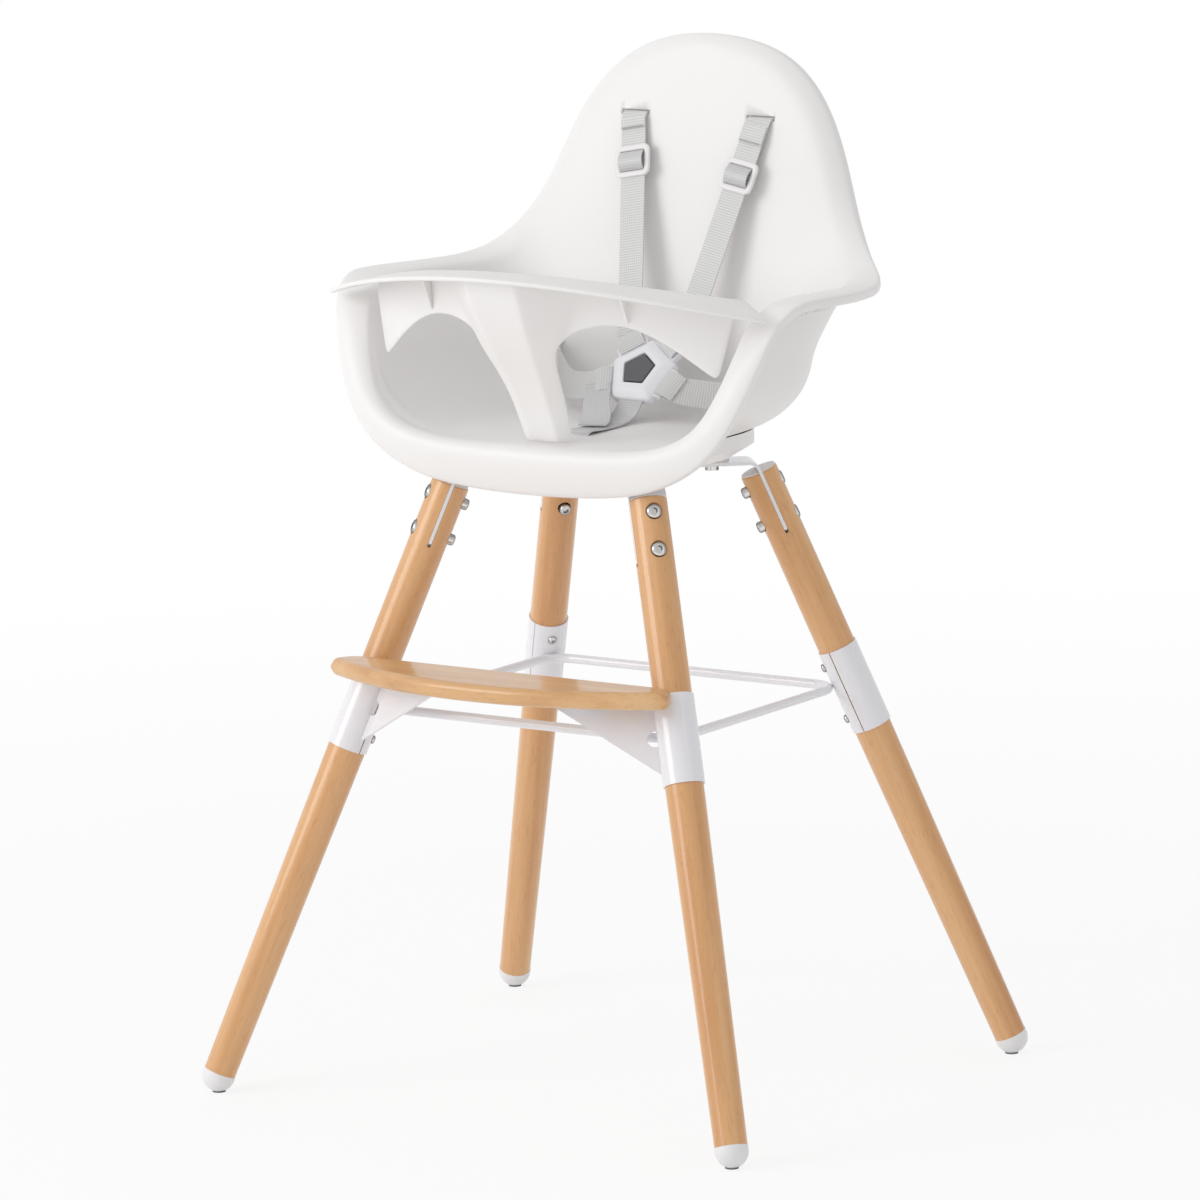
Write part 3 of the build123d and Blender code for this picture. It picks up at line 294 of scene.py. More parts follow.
# Rim from the top of the backrest to the front: the outer edge and where the wall begins.
rim = [
    ((0.0, 0.1830, 0.9240), (0.0, 0.1740, 0.9110)),
    ((0.040, 0.1840, 0.9205), (0.036, 0.1735, 0.9070)),
    ((0.076, 0.1840, 0.9095), (0.068, 0.1710, 0.8960)),
    ((0.105, 0.1815, 0.8895), (0.095, 0.1675, 0.8780)),
    ((0.128, 0.1755, 0.8620), (0.116, 0.1625, 0.8540)),
    ((0.144, 0.1695, 0.8320), (0.131, 0.1575, 0.8260)),
    ((0.156, 0.1635, 0.8020), (0.142, 0.1510, 0.7970)),
    ((0.169, 0.1540, 0.7720), (0.153, 0.1440, 0.7680)),
    ((0.187, 0.1420, 0.7460), (0.166, 0.1350, 0.7425)),
    ((0.210, 0.1280, 0.7265), (0.181, 0.1235, 0.7235)),
    ((0.229, 0.1040, 0.7195), (0.193, 0.1020, 0.7160)),
    ((0.239, 0.0660, 0.7190), (0.199, 0.0650, 0.7175)),
    ((0.246, 0.0200, 0.7205), (0.201, 0.0200, 0.7195)),
    ((0.246, -0.0220, 0.7225), (0.202, -0.0220, 0.7205)),
    ((0.2415, -0.0520, 0.7225), (0.202, -0.0520, 0.7160)),
    ((0.2345, -0.0780, 0.7080), (0.200, -0.0740, 0.7030)),
    ((0.2275, -0.0890, 0.6820), (0.195, -0.0865, 0.6770)),
    ((0.2180, -0.0990, 0.6520), (0.185, -0.0980, 0.6490)),
    ((0.2050, -0.1080, 0.6200), (0.172, -0.1070, 0.6190)),
    ((0.1850, -0.1135, 0.5900), (0.151, -0.1125, 0.6020)),
    ((0.1540, -0.1155, 0.5670), (0.123, -0.1175, 0.5930)),
    ((0.1130, -0.1155, 0.5510), (0.090, -0.1195, 0.5890)),
    ((0.0580, -0.1155, 0.5455), (0.046, -0.1205, 0.5882)),
    ((0.0, -0.1155, 0.5440), (0.0, -0.1205, 0.5880)),
]


def corner_point(inner, turn):
    """Point on the bucket's lower corner under a rim point: turn 0 is the floor, a right angle the wall."""
    half_width = floor_half + (wall_half - floor_half) * math.sin(turn)
    rear = floor_rear + (wall_rear - floor_rear) * math.sin(turn)
    height = floor_height + corner_height * (1 - math.cos(turn))
    x, y, z = inner
    if y > 0:
        across, back = (x / wall_half) ** section_power, (y / wall_rear) ** section_power
        across_share = (across / (across + back)) ** (1 / section_power)
        back_share = (back / (across + back)) ** (1 / section_power)
        return Vector((half_width * across_share, rear * back_share, height))
    top_turn = wall_turn(z)
    at_rim = floor_half + (wall_half - floor_half) * math.sin(top_turn)
    at_rim += side_flare * max(0.0, z - floor_height - corner_height)
    forward = y * (front_share + front_share_gain * math.sin(turn))
    return Vector((half_width * min(1.0, x / at_rim), forward, height))


def wall_turn(height):
    """How far up the lower corner a height is."""
    return math.acos(min(1.0, max(0.0, 1 - (height - floor_height) / corner_height)))


def seat_profile(outer, inner):
    """Points down one line of the seat, from the fold behind the rim to the floor."""
    outer, inner = Vector(outer), Vector(inner)
    lift = min(1.0, max(0.0, (outer.z - back_start) / back_blend))
    front = min(1.0, max(0.0, (flange_start - outer.z) / flange_blend))
    fold_way = Vector((0, lift + front, -(1 - lift) * (1 - front) - back_droop * lift)).normalized()
    middle = (outer + inner) / 2 + flange_bulge * front + back_bulge * lift + rim_crown
    points = [outer + fold_way * rim_fold * reach for reach in (fold_far, fold_near)]
    points += [outer, middle, inner]
    top_turn = wall_turn(inner.z)
    if inner.z > floor_height + corner_height:
        foot = corner_point(inner, math.pi / 2)
        points += [inner.lerp(foot, share) for share in wall_shares]
    else:
        points += [corner_point(inner, top_turn * share) for share in lip_shares]
        top_turn *= lip_shares[-1]
    points += [corner_point(inner, top_turn * share) for share in corner_shares]
    return points


def both_sides(half):
    """A loop of points from half of it, which runs from the middle round to the middle."""
    return half + [Vector((-x, y, z)) for x, y, z in reversed(half[1:-1])]


def next_loop(bm, ring, points):
    """Extrude a closed ring of vertices to a new ring of points."""
    edges = [bm.edges.get((ring[i - 1], ring[i])) for i in range(len(ring))]
    made = bmesh.ops.extrude_edge_only(bm, edges=edges)["geom"]
    fresh = {item for item in made if isinstance(item, bmesh.types.BMVert)}
    new_ring = []
    for vertex, point in zip(ring, points):
        grown = next(e.other_vert(vertex) for e in vertex.link_edges if e.other_vert(vertex) in fresh)
        grown.co = point
        new_ring.append(grown)
    return new_ring


def start_loop(bm, points):
    """A closed ring of vertices at points."""
    ring = bmesh.ops.create_circle(bm, segments=len(points), radius=1.0)["verts"]
    for vertex, point in zip(ring, points):
        vertex.co = point
    return ring


def add_piece(name, bm, material, body, smooth=True):
    """Turn a finished bmesh into an object that rides on a body."""
    mesh = bpy.data.meshes.new(name)
    bm.to_mesh(mesh)
    bm.free()
    mesh.materials.append(material)
    for polygon in mesh.polygons:
        polygon.use_smooth = smooth
    piece = bpy.data.objects.new(name, mesh)
    bpy.context.scene.collection.objects.link(piece)
    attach(piece, body)
    return piece


def add_wall(piece, thickness, offset):
    """Give a sheet its wall."""
    wall = piece.modifiers.new("wall", "SOLIDIFY")
    wall.thickness = thickness
    wall.offset = offset
    return wall


def thicken(piece, thickness, offset, levels):
    """Give a sheet an even wall and round it."""
    add_wall(piece, thickness, offset).use_even_offset = True
    soft = piece.modifiers.new("soft", "SUBSURF")
    soft.levels = levels
    soft.render_levels = levels


def settle(piece):
    """Apply a piece's modifiers to its mesh."""
    graph = bpy.context.evaluated_depsgraph_get()
    solid = bpy.data.meshes.new_from_object(piece.evaluated_get(graph))
    piece.modifiers.clear()
    piece.data = solid


white_plastic = plastic("seat_plastic", (241, 239, 238), roughness=0.36, texture=0.06)
profiles = [seat_profile(outer, inner) for outer, inner in rim]
seat = bmesh.new()
ring = start_loop(seat, both_sides([profile[0] for profile in profiles]))
for level in range(1, len(profiles[0])):
    ring = next_loop(seat, ring, both_sides([profile[level] for profile in profiles]))
floor_face = bmesh.ops.contextual_create(seat, geom=ring)["faces"][0]
bmesh.ops.recalc_face_normals(seat, faces=seat.faces)
floor_face.normal_update()
if floor_face.normal.z < 0:
    bmesh.ops.reverse_faces(seat, faces=seat.faces)
shell = add_piece("seat_moulding", seat, white_plastic, "chair")
thicken(shell, shell_wall, offset=-1.0, levels=2)
settle(shell)

slot_width, slot_height, slot_reach = 0.030, 0.005, 4 * shell_wall
slot_across, slot_up = Vector((1, 0, 0)), Vector((0, 0.2, 0.98)).normalized()
slot_middle = Vector((0.067, 0.1625, 0.8505))


def on_side(side, point):
    """A point of the left side, on either side: 1 is the child's left and -1 the right."""
    return Vector((side * point.x, point.y, point.z))


def cut_slot(piece, middle):
    """Cut a strap slot through a settled sheet: its walls join the two skins."""
    bm = bmesh.new()
    bm.from_mesh(piece.data)
    slot_out = slot_across.cross(slot_up)
    sizes = ((slot_across, slot_width / 2), (slot_up, slot_height / 2), (slot_out, slot_reach))

    def within(face, margin):
        gap = face.calc_center_median() - middle
        return all(abs(gap.dot(axis)) < half + margin for axis, half in sizes)

    for axis, half in sizes[:2]:
        for side in (1, -1):
            faces = [face for face in bm.faces if within(face, slot_width)]
            geometry = set(faces)
            for face in faces:
                geometry.update(face.edges)
                geometry.update(face.verts)
            place = middle + axis * half * side
            bmesh.ops.bisect_plane(bm, geom=list(geometry), dist=1e-6, plane_co=place, plane_no=axis)
    bmesh.ops.delete(bm, geom=[face for face in bm.faces if within(face, 0)], context="FACES")
    bmesh.ops.bridge_loops(bm, edges=[edge for edge in bm.edges if edge.is_boundary])
    bmesh.ops.recalc_face_normals(bm, faces=bm.faces)
    bm.to_mesh(piece.data)
    bm.free()


for side in (1, -1):
    cut_slot(shell, on_side(side, slot_middle))
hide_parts("seat_shell")

# Base and racks: a shallow white pan under the seat, bolted to the cross bars, and toothed
# strips under the arms that an accessory tray clips to.
dress(["seat_base", "tray_rack_left", "tray_rack_right"], white_plastic)

# Bumper: a white plastic moulding that drops into the seat. A crowned tray edge stands on a
# curved wall with two leg arches, and a channelled post runs down between the legs.
tray_front_half, tray_corner_y, tray_front_y = 0.233, -0.088, -0.190
tray_rear_half, tray_rear_corner_y, tray_rear_y = 0.190, -0.060, -0.146
tray_top, tray_end_drop, tray_sheet = 0.746, 0.036, 0.004
wall_radius, wall_apex, wall_sheet = 0.373, -0.128, 0.003
wall_top_half = 0.193
crown_radius = (tray_front_half**2 + tray_end_drop**2) / (2 * tray_end_drop)

# Post: height, half width and place of its front face, half width and place of its rear edge.
post_rows = [
    (0.5884, 0.0156, -0.0950, 0.0260, -0.0850),
    (0.6070, 0.0150, -0.1020, 0.0277, -0.0925),
    (0.6300, 0.0156, -0.1135, 0.0295, -0.1025),
    (0.6530, 0.0180, -0.1260, 0.0330, -0.1165),
    (0.6740, 0.0210, -0.1415, 0.0385, -0.1310),
    (0.6890, 0.0230, -0.1505, 0.0440, -0.1330),
    (0.7020, 0.0245, -0.1580, 0.0490, -0.1360),
    (0.7220, 0.0258, -0.1675, 0.0550, -0.1400),
    (0.7430, 0.0270, -0.1760, 0.0600, -0.1440),
]
arch_edge = [
    (0.0385, 0.674), (0.044, 0.683), (0.051, 0.690), (0.061, 0.695), (0.073, 0.699), (0.088, 0.7005),
    (0.104, 0.699), (0.120, 0.693), (0.136, 0.684), (0.154, 0.671), (0.168, 0.659), (0.177, 0.652),
]
post_columns, wall_rows, flare_columns = 10, 5, 6
edge_round, tray_edge_round, weld_distance = 0.0016, 0.0015, 0.0004
sharp_angle = 40
dish_share, dish_depth = 0.4, 0.0006
wall_seat_share = 0.75
side_name = {1: "left", -1: "right"}


def arc_through(half, corner_y, middle_y):
    """Radius and middle of a level arc through two mirrored corners and its middle point."""
    rise = corner_y - middle_y
    radius = (half**2 + rise**2) / (2 * rise)
    return radius, middle_y + radius


def crown(x):
    """Height of the tray's top."""
    return tray_top - crown_radius + math.sqrt(crown_radius**2 - x**2)


def bumper_wall_y(x):
    """Place of the wall's front, at a distance from the middle."""
    return wall_apex + wall_radius - math.sqrt(wall_radius**2 - x**2)


def grid_piece(bm, columns, rows, place):
    """Add a grid whose points are placed by column and row."""
    made = bmesh.ops.create_grid(bm, x_segments=columns - 1, y_segments=rows - 1, size=0.5)["verts"]
    for index, vertex in enumerate(made):
        vertex.co = place(index % columns, index // columns)
    return made


tray_columns, tray_rows = 33, 5
front_arc = arc_through(tray_front_half, tray_corner_y, tray_front_y)
rear_arc = arc_through(tray_rear_half, tray_rear_corner_y, tray_rear_y)


def tray_point(column, row):
    """Point on the tray's top: columns run from side to side and rows from rear to front."""
    share = 2 * column / (tray_columns - 1) - 1
    ends = []
    for half, (radius, centre) in ((tray_rear_half, rear_arc), (tray_front_half, front_arc)):
        turn = share * math.asin(half / radius)
        ends.append(Vector((radius * math.sin(turn), centre - radius * math.cos(turn), 0)))
    point = ends[0].lerp(ends[1], row / (tray_rows - 1))
    point.z = crown(point.x)
    return point


def upward(bm):
    """Turn a sheet's faces so that most of them face up."""
    bmesh.ops.recalc_face_normals(bm, faces=bm.faces)
    bm.normal_update()
    if sum(face.normal.z * face.calc_area() for face in bm.faces) < 0:
        bmesh.ops.reverse_faces(bm, faces=bm.faces)


def crisp(piece, degrees):
    """Keep the shading of edges sharper than an angle apart."""
    split = piece.modifiers.new("crisp", "EDGE_SPLIT")
    split.split_angle = math.radians(degrees)


def round_edges(piece, width, segments):
    """Round a piece's sharp edges."""
    bevel = piece.modifiers.new("edges", "BEVEL")
    bevel.width = width
    bevel.segments = segments
    bevel.limit_method = "ANGLE"
    bevel.angle_limit = math.radians(sharp_angle)


tray_bm = bmesh.new()
grid_piece(tray_bm, tray_columns, tray_rows, tray_point)
upward(tray_bm)
bmesh.ops.solidify(tray_bm, geom=tray_bm.faces[:], thickness=tray_sheet)
tray = add_piece("bumper_tray", tray_bm, white_plastic, "bumper")
round_edges(tray, tray_edge_round, segments=3)
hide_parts("bumper")


def post_column(row_values, column):
    """Point across the post: columns run from one rear edge over the front face to the other."""
    height, front_half, front_y, rear_half, rear_y = row_values
    front, rear = Vector((front_half, front_y, height)), Vector((rear_half, rear_y, height))
    flank = (rear - front).normalized()
    line = [rear, rear.lerp(front, 0.5), front + flank * edge_round, front - Vector((edge_round, 0, 0))]
    line += [Vector((front_half * dish_share, front_y + dish_depth, height))]
    line += [Vector((-x, y, z)) for x, y, z in reversed(line)]
    return line[column]


def wall_column(side, column, row):
    """Point on one side of the wall, from the arch up to the tray; it flares forward into the post."""
    x, z = arch_edge[column]
    post_z, _, _, post_x, post_y = post_rows[len(post_rows) - wall_rows + row]
    if column == 0:
        return Vector((side * post_x, post_y, post_z))
    flare = (bumper_wall_y(post_x) - post_y) * max(0, 1 - column / flare_columns) ** 2
    post_top_half = post_rows[-1][3]
    top_x = post_top_half + (wall_top_half - post_top_half) * column / (len(arch_edge) - 1)
    x += (top_x - x) * row / (wall_rows - 1)
    z += (crown(x) - tray_sheet * wall_seat_share - z) * row / (wall_rows - 1)
    return Vector((side * x, bumper_wall_y(x) - flare, z))


wall_bm = bmesh.new()
grid_piece(wall_bm, post_columns, len(post_rows), lambda column, row: post_column(post_rows[row], column))
for side in (1, -1):
    grid_piece(wall_bm, len(arch_edge), wall_rows, lambda column, row: wall_column(side, column, row))
bmesh.ops.remove_doubles(wall_bm, verts=wall_bm.verts[:], dist=weld_distance)
bmesh.ops.recalc_face_normals(wall_bm, faces=wall_bm.faces[:])
wall_bm.normal_update()
if sum(face.normal.y * face.calc_area() for face in wall_bm.faces) > 0:
    bmesh.ops.reverse_faces(wall_bm, faces=wall_bm.faces[:])
bumper_skirt = add_piece("bumper_wall", wall_bm, white_plastic, "bumper")
thicken(bumper_skirt, wall_sheet, offset=-1.0, levels=2)

# Two small ribs brace the tray against the wall.
rib_half, rib_low, rib_high = 0.105, 0.704, 0.7350
rib_toe, rib_reach, rib_sheet = 0.002, 0.016, 0.0025
for side in (1, -1):
    root = bumper_wall_y(rib_half)
    corners = [(root, rib_low), (root - rib_toe, rib_low), (root, rib_high), (root - rib_reach, rib_high)]
    rib_bm = bmesh.new()
    grid_piece(rib_bm, 2, 2, lambda column, row: Vector((side * rib_half, *corners[2 * row + column])))
    grown = bmesh.ops.extrude_face_region(rib_bm, geom=rib_bm.faces[:])["geom"]
    moved = [item for item in grown if isinstance(item, bmesh.types.BMVert)]
    bmesh.ops.translate(rib_bm, verts=moved, vec=(-side * rib_sheet, 0, 0))
    bmesh.ops.recalc_face_normals(rib_bm, faces=rib_bm.faces[:])
    rib = add_piece(f"bumper_rib_{side_name[side]}", rib_bm, white_plastic, "bumper", smooth=False)

# Webbing: light grey woven polyester straps 25 mm wide, with fine cross ribs. They run from
# the buckle to slots in the seat, and one waist strap leaves a loose tail. The crotch strap,
# the tail and the rolls in the adjusters have a smoother satin weave.
strap_width, strap_sheet = 0.025, 0.0014
rib_pitch, end_pitch = 0.0024, 0.0021
rib_weight, end_weight = 0.62, 0.38
buckle_place = Vector((0, 0.062, 0.629))
buckle_lean = math.radians(40)
buckle_out = Vector((0, -math.cos(buckle_lean), math.sin(buckle_lean)))
buckle_up = Vector((0, math.sin(buckle_lean), math.cos(buckle_lean)))
buckle_across = Vector((1, 0, 0))
tongue_end = 0.0368


def buckle_way(angle):
    """Direction out of the buckle in its own plane."""
    turn = math.radians(angle)
    return buckle_across * math.cos(turn) + buckle_up * math.sin(turn)


def buckle_point(angle, reach, rise=0.0):
    """Point at a distance from the buckle's middle, and above its plane."""
    return buckle_place + buckle_way(angle) * reach + buckle_out * rise


def woven(name, dark, light, roughness, relief):
    """Webbing: ribs across the strap and finer ends along it, from its own UV in metres."""
    material, place, shader = new_material(name)
    flat = Wire(material.node_tree).node("ShaderNodeTexCoord", {}, {}, "UV")
    across = flat.node("ShaderNodeSeparateXYZ", {}, {"Vector": flat}, "X")
    along = flat.node("ShaderNodeSeparateXYZ", {}, {"Vector": flat}, "Y")
    ribs = (along * (2 * math.pi / rib_pitch)).sine() * 0.5 + 0.5
    ends = (across * (2 * math.pi / end_pitch)).sine() * 0.5 + 0.5
    weave = ribs * rib_weight + ends * end_weight
    fuzz = place.noise(1500.0, detail=2.0, roughness=0.6)
    shade = (weave * 0.8 + fuzz * 0.2).tint(opaque(dark), opaque(light))
    surface = weave.bump(strength=relief, distance=0.0004)
    feed(shader, Base_Color=shade, Roughness=roughness - weave * 0.1, Normal=surface)
    return material


webbing = woven("grey_webbing", (192, 192, 191), (231, 231, 230), roughness=0.62, relief=0.35)
satin_webbing = woven("satin_webbing", (188, 188, 189), (213, 213, 214), roughness=0.40, relief=0.14)
# Darker seam thread. Its row at each shoulder flap's end is partly a real stitched seam and partly a
# painted shadow line under the flap's end.
thread_and_shadow_line = woven("grey_thread_and_painted_shadow", (150, 150, 150), (176, 176, 176), roughness=0.60, relief=0.2)


def smooth_line(stations, steps):
    """Points and width directions along a smooth curve through stations."""
    line = []
    padded = [stations[0]] + stations + [stations[-1]]
    for index in range(1, len(padded) - 2):
        for step in range(steps + (index == len(padded) - 3)):
            share = step / steps
            blended = []
            for part in (0, 1):
                around = [Vector(padded[index + offset][part]) for offset in (-1, 0, 1, 2)]
                before, start, end, after = around
                cubic = 2 * start + (end - before) * share
                cubic += (2 * before - 5 * start + 4 * end - after) * share**2
                cubic += (3 * start - before - 3 * end + after) * share**3
                blended.append(cubic / 2)
            line.append(blended)
    return line


def ribbon(name, stations, body, width=strap_width, steps=8, finish=webbing):
    """Flat webbing through stations, each a point and a direction across the strap."""
    line = smooth_line(stations, steps)
    bm = bmesh.new()
    uv = bm.loops.layers.uv.new("weave")
    columns = 3
    lengths = [0.0]
    for (start, _), (end, _) in zip(line, line[1:]):
        lengths.append(lengths[-1] + (end - start).length)

    def strap_point(column, row):
        point, across = line[row]
        travel = line[min(row + 1, len(line) - 1)][0] - line[max(row - 1, 0)][0]
        across = (across - travel * (across.dot(travel) / travel.length_squared)).normalized()
        return point + across * width * (column / (columns - 1) - 0.5)

    made = grid_piece(bm, columns, len(line), strap_point)
    order = {vertex: index for index, vertex in enumerate(made)}
    for face in bm.faces:
        for loop in face.loops:
            index = order[loop.vert]
            loop[uv].uv = (width * (index % columns) / (columns - 1), lengths[index // columns])
    piece = add_piece(name, bm, finish, body)
    add_wall(piece, strap_sheet, offset=0.0)
    crisp(piece, sharp_angle)
    return piece


shoulder_slot = Vector((0.067, 0.1589, 0.850))
shoulder_angle = {1: 54, -1: 126}
shoulder_entry = [Vector((0, 0.014, 0.001)), Vector((0, 0.003, 0.0006))]
shoulder_shares = (0.03, 0.10, 0.25, 0.45, 0.65, 0.85)
strap_lead, strap_bite = 0.012, 0.004
adjuster_shares = {1: 0.26, -1: 0.22}
flap_start, flap_clear, flap_rise, flap_steps = 0.025, 0.148, 0.0017, 3
stitch_shadow_reaches, stitch_shadow_rise, stitch_shadow_width = (0.008, 0.005, 0.002), 0.0026, 0.0215


def shoulder_run(side):
    """Ends of the straight run of a shoulder strap."""
    slot = on_side(side, shoulder_slot)
    return slot, buckle_point(shoulder_angle[side], tongue_end + strap_lead)


for side in (1, -1):
    slot, end = shoulder_run(side)
    travel = (end - slot).normalized()
    wide = (buckle_across - travel * buckle_across.dot(travel)).normalized()
    edge_way = buckle_way(shoulder_angle[side] - 90)
    stations = [(slot + offset, buckle_across) for offset in shoulder_entry]
    stations += [(slot.lerp(end, share), wide) for share in shoulder_shares]
    stations += [(end, (wide + edge_way).normalized())]
    stations += [(buckle_point(shoulder_angle[side], tongue_end - strap_bite), edge_way)]
    out = travel.cross(wide)
    flap_end = adjuster_shares[side] - flap_clear
    flap_part = (flap_end - flap_start) / flap_steps
    flap_shares = [flap_start + flap_part * step for step in range(flap_steps + 1)]
    flap = [(slot.lerp(end, share) + out * flap_rise, wide) for share in flap_shares]
    ribbon(f"shoulder_flap_{side_name[side]}", flap, "chair", steps=3)
    # A darker thread row at the flap's end: a real stitched seam that also serves as a painted shadow line
    # under the flap's edge.
    stitch_shadow_shares = [flap_end - reach for reach in stitch_shadow_reaches]
    stitch_shadow_line = [(slot.lerp(end, share) + out * stitch_shadow_rise, wide) for share in stitch_shadow_shares]
    ribbon(f"shoulder_stitch_and_shadow_{side_name[side]}", stitch_shadow_line, "chair", stitch_shadow_width, steps=2, finish=thread_and_shadow_line)
    strap = ribbon(f"shoulder_webbing_{side_name[side]}", stations, "chair")
    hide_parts(f"shoulder_strap_{side_name[side]}")

waist_slot = Vector((0.115, 0.1077, 0.632))
waist_sag = Vector((0.086, 0.0735, 0.6135))
waist_lead = 0.010
waist_entry = [Vector((0, -0.009, 0)), Vector((0, 0.008, 0))]
waist_angle = {1: 342, -1: 198}
for side in (1, -1):
    slot, sag = on_side(side, waist_slot), on_side(side, waist_sag)
    angle = waist_angle[side]
    edge_way = buckle_way(angle + 90 * side)
    upright = Vector((0, 0, 1))
    start = buckle_point(angle, tongue_end - strap_bite)
    leave = buckle_point(angle, tongue_end + waist_lead)
    stations = [(start, edge_way), (leave, edge_way), (sag, (edge_way + upright).normalized())]
    stations += [(slot + offset, upright) for offset in waist_entry]
    strap = ribbon(f"waist_webbing_{side_name[side]}", stations, "chair")
    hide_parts(f"waist_strap_{side_name[side]}")

# A sewn loop of webbing over each tongue, and the loose tail on the child's right.
loop_profile = [(0.0285, 0.0033), (0.0325, 0.0050), (0.0385, 0.0056), (0.0440, 0.0042), (0.0490, 0.0016)]
for strap_kind, angles in (("waist", waist_angle), ("shoulder", shoulder_angle)):
    for side in (1, -1):
        angle = angles[side]
        edge_way = buckle_way(angle + 90 * side)
        stations = [(buckle_point(angle, reach, rise), edge_way) for reach, rise in loop_profile]
        ribbon(f"{strap_kind}_loop_{side_name[side]}", stations, "chair", steps=4)
tail_points = [(-0.0370, 0.0480, 0.6200), (-0.0350, 0.0430, 0.6140), (-0.0240, 0.0240, 0.6020)]
tail_points += [(-0.0130, 0.0080, 0.5960), (-0.0060, -0.0040, 0.5940), (-0.0010, -0.0170, 0.5935)]
tail_stations = [(Vector(point), buckle_across) for point in tail_points]
ribbon("waist_tail", tail_stations, "chair", finish=satin_webbing)

crotch_angle, crotch_reaches = 270, (0.0225, tongue_end + 0.002)
crotch_slot = Vector((0, -0.045, 0.588))
crotch_route = [buckle_point(crotch_angle, reach) for reach in crotch_reaches]
crotch_route += [Vector((0, 0.026, 0.5935)), Vector((0, 0.008, 0.5905)), Vector((0, -0.018, 0.5905))]
crotch_route += [crotch_slot + Vector((0, 0.005, 0.003)), crotch_slot - Vector((0, 0, 0.006))]
crotch_stations = [(point, buckle_across) for point in crotch_route]
strap = ribbon("crotch_webbing", crotch_stations, "chair", finish=satin_webbing)
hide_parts("crotch_strap")

# Adjusters: white plastic frames that slide on the shoulder straps, with the webbing rolled
# over the bar in each window.
frame_width, frame_length, frame_bar, frame_sheet = 0.036, 0.030, 0.0055, 0.0034
frame_round, frame_edge_round, frame_offset = 0.0065, 0.0012, 0.6
roll_radius, roll_rise, roll_width, roll_steps = 0.0088, 0.0062, 0.0245, 6


def frame_corner(column, row):
    """Corner of the flat frame, about its middle."""
    return Vector(((column - 0.5) * frame_width, (row - 0.5) * frame_length, 0))


def turned(bm, place, across, travel):
    """Move a flat mesh to a place: its X goes across, its Y along the travel."""
    out = across.cross(travel)
    turn = Matrix((across, travel, out)).transposed().to_4x4()
    bmesh.ops.transform(bm, matrix=Matrix.Translation(place) @ turn, verts=bm.verts)


adjuster_plastic = plastic("adjuster_plastic", (234, 232, 232), roughness=0.30, texture=0.05)
for side in (1, -1):
    slot, end = shoulder_run(side)
    travel = (slot - end).normalized()
    wide = (buckle_across - travel * buckle_across.dot(travel)).normalized()
    place = slot.lerp(end, adjuster_shares[side])
    frame_bm = bmesh.new()
    corners = grid_piece(frame_bm, 2, 2, frame_corner)
    bmesh.ops.bevel(
        frame_bm, geom=corners, offset=frame_round, segments=5, profile=0.5, affect="VERTICES", material=-1
    )
    bmesh.ops.inset_region(frame_bm, faces=frame_bm.faces[:], thickness=frame_bar, use_boundary=True)
    middle_face = min(frame_bm.faces, key=lambda face: face.calc_center_median().length)
    bmesh.ops.delete(frame_bm, geom=[middle_face], context="FACES_ONLY")
    turned(frame_bm, place, wide, travel)
    body = f"adjuster_{side_name[side]}"
    loop_frame = add_piece(f"adjuster_frame_{side_name[side]}", frame_bm, adjuster_plastic, body)
    add_wall(loop_frame, frame_sheet, frame_offset)
    round_edges(loop_frame, frame_edge_round, segments=3)
    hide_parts(f"strap_adjuster_{side_name[side]}")
    out = wide.cross(travel)
    stations = []
    for step in range(roll_steps + 1):
        turn = math.pi * step / roll_steps
        lift = out * roll_rise * math.sin(turn)
        stations.append((place - travel * roll_radius * math.cos(turn) + lift, wide))
    ribbon(f"adjuster_roll_{side_name[side]}", stations, body, roll_width, steps=4, finish=satin_webbing)

# Buckle: a pale two-part plastic pentagon with bevelled facets, its dark button in the middle,
# and the tongues of the straps in its edges. White plastic anchors hold the straps' other ends
# behind the seat.
buckle_plastic = plastic("buckle_plastic", (242, 242, 245), roughness=0.30, texture=0.05)
buckle_loops = [
    (0.0335, -0.0068), (0.0350, -0.0050), (0.0350, 0.0012), (0.0338, 0.0028), (0.0256, 0.0076),
    (0.0240, 0.0080), (0.0182, 0.0080), (0.0174, 0.0070), (0.0172, 0.0030),
]
buckle_back_radius, buckle_back_rise, buckle_back_corner = 0.0300, -0.0060, 0.006
corner_steps, corner_share, facet_angle = 6, 0.11, 20
sides, side_turn = 5, 72


def pentagon(radius, rise, corner):
    """A rounded pentagon in the buckle's plane, one corner up."""
    points = []
    corner_gap = corner / math.cos(math.radians(side_turn / 2))
    for corner_index in range(sides):
        angle = 90 + side_turn * corner_index
        centre = buckle_point(angle, radius - corner_gap, rise)
        for step in range(corner_steps + 1):
            outward = buckle_way(angle - side_turn / 2 + side_turn * step / corner_steps)
            points.append(centre + outward * corner)
    return points


buckle_bm = bmesh.new()
ring = start_loop(buckle_bm, pentagon(buckle_back_radius, buckle_back_rise, buckle_back_corner))
bmesh.ops.contextual_create(buckle_bm, geom=ring)
for radius, rise in buckle_loops:
    ring = next_loop(buckle_bm, ring, pentagon(radius, rise, corner_share * radius))
bmesh.ops.recalc_face_normals(buckle_bm, faces=buckle_bm.faces[:])
buckle = add_piece("buckle_body", buckle_bm, buckle_plastic, "chair")
crisp(buckle, facet_angle)
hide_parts("buckle_front", "buckle_back")
tongue_names = [f"{kind}_tongue_{side}" for kind in ("shoulder", "waist") for side in ("left", "right")]
dress(tongue_names, buckle_plastic)
dress(["strap_anchors"], foot_plastic)
dress(["buckle_button"], plastic("button_plastic", (96, 97, 99), roughness=0.42, texture=0.06))

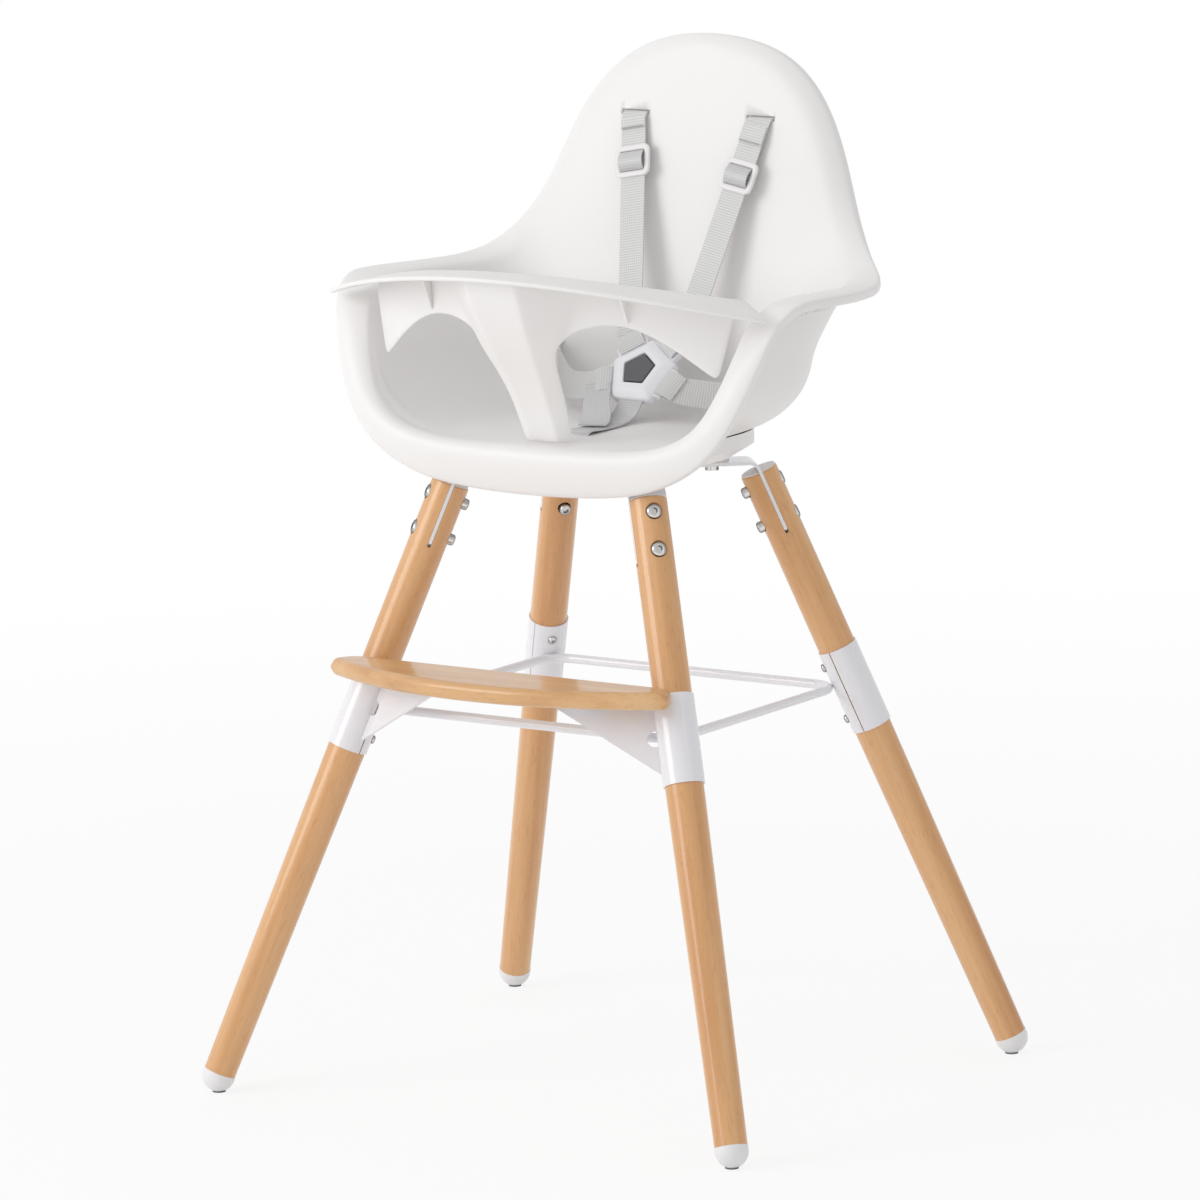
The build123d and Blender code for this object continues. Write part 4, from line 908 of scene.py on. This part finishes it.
# Studio: a pale floor that keeps the shadow, a white surround that is dimmer on the right, two
# large soft lamps and the camera.
scene = bpy.context.scene
scene.view_settings.view_transform = "Standard"
floor_size, floor_grey, floor_roughness = 14.0, (0.93, 0.93, 0.93, 1), 0.9
plain_white = (1, 1, 1, 1)
fade_start, fade_end, fade_least = 0.9, 2.6, 0.8
ambient_left, ambient_right = 0.91, 0.61
lamp_target = (0, 0, 0.5)
key_place, key_size, key_power = (-2.2, -3.3, 2.0), (2.2, 2.2), 52
strip_place, strip_size, strip_power = (3.0, -0.6, 1.4), (0.4, 2.0), 2
floor_bm = bmesh.new()
bmesh.ops.create_grid(floor_bm, x_segments=1, y_segments=1, size=floor_size / 2)
floor_mesh = bpy.data.meshes.new("studio_floor")
floor_bm.to_mesh(floor_mesh)
floor_bm.free()
studio_floor = bpy.data.objects.new("studio_floor", floor_mesh)
scene.collection.objects.link(studio_floor)
floor_paint, place, floor_shader = new_material("studio_floor")
feed(floor_shader, Base_Color=floor_grey, Roughness=floor_roughness)
tree = floor_paint.node_tree
seen = Wire(tree).node("ShaderNodeLightPath", {}, {}, "Is Camera Ray")
mirrored_ray = Wire(tree).node("ShaderNodeLightPath", {}, {}, "Is Glossy Ray")
glow = Wire(tree).node("ShaderNodeEmission", {}, {"Color": plain_white, "Strength": 1.0})
matt = Wire(tree, floor_shader.outputs[0])
away = place.node("ShaderNodeVectorMath", {"operation": "LENGTH"}, {0: place}, "Value")
fade_range = {"From Min": fade_start, "From Max": fade_end, "To Min": fade_least, "To Max": 1.0}
fade = away.node("ShaderNodeMapRange", {}, {"Value": away, **fade_range})
share = seen.maths("MAXIMUM", seen, mirrored_ray) * fade
mixed = seen.node("ShaderNodeMixShader", {}, {0: share, 1: matt, 2: glow})
tree.links.new(mixed.socket, tree.nodes["Material Output"].inputs["Surface"])
floor_mesh.materials.append(floor_paint)

world = bpy.data.worlds.new("studio_surround")
scene.world = world
world.use_nodes = True
surround = world.node_tree
ambient = surround.nodes["Background"]
ambient.inputs["Color"].default_value = plain_white
ambient.inputs["Strength"].default_value = ambient_left
dim = Wire(surround).node("ShaderNodeBackground", {}, {"Color": plain_white, "Strength": ambient_right})
sky = Wire(surround).node("ShaderNodeTexCoord", {}, {}, "Generated")
rightward = sky.node("ShaderNodeSeparateXYZ", {}, {"Vector": sky}, "X") * 0.5 + 0.5
around = sky.node("ShaderNodeMixShader", {}, {0: rightward, 1: Wire(surround, ambient.outputs[0]), 2: dim})
white = Wire(surround).node("ShaderNodeBackground", {}, {"Color": plain_white, "Strength": 1.0})
camera_ray = Wire(surround).node("ShaderNodeLightPath", {}, {}, "Is Camera Ray")
shown = camera_ray.node("ShaderNodeMixShader", {}, {0: camera_ray, 1: around, 2: white})
surround.links.new(shown.socket, surround.nodes["World Output"].inputs["Surface"])


def soft_lamp(name, place, target, size, power):
    """A large softbox aimed at a point."""
    lamp = bpy.data.lights.new(name, "AREA")
    lamp.shape = "RECTANGLE"
    lamp.size, lamp.size_y = size
    lamp.energy = power
    holder = bpy.data.objects.new(name, lamp)
    scene.collection.objects.link(holder)
    holder.location = place
    holder.rotation_mode = "QUATERNION"
    holder.rotation_quaternion = (Vector(target) - Vector(place)).to_track_quat("-Z", "Y")


soft_lamp("key_softbox", key_place, lamp_target, key_size, key_power)
soft_lamp("strip_softbox", strip_place, lamp_target, strip_size, strip_power)

camera_azimuth = math.radians(34.1621)
camera_rise = math.radians(10.2624)
camera_roll = math.radians(-1.2475)
camera_distance = 6.4393
aim_height = 0.43325
aim_shift = -0.00683
lens_pixels, photo_width = 7217.264, 1200
back = Vector((
    math.sin(camera_azimuth) * math.cos(camera_rise),
    -math.cos(camera_azimuth) * math.cos(camera_rise),
    math.sin(camera_rise),
))
right = Vector((math.cos(camera_azimuth), math.sin(camera_azimuth), 0))
above = back.cross(right)
turned_right = right * math.cos(camera_roll) + above * math.sin(camera_roll)
turned_above = above * math.cos(camera_roll) - right * math.sin(camera_roll)
camera_data = bpy.data.cameras.new("photo_camera")
camera_data.sensor_width = 36.0
camera_data.lens = camera_data.sensor_width * lens_pixels / photo_width
camera = bpy.data.objects.new("photo_camera", camera_data)
scene.collection.objects.link(camera)
camera_place = Vector((0, 0, aim_height)) + right * aim_shift + back * camera_distance
turn = Matrix((turned_right, turned_above, back)).transposed()
camera.matrix_world = Matrix.Translation(camera_place) @ turn.to_4x4()
scene.camera = camera
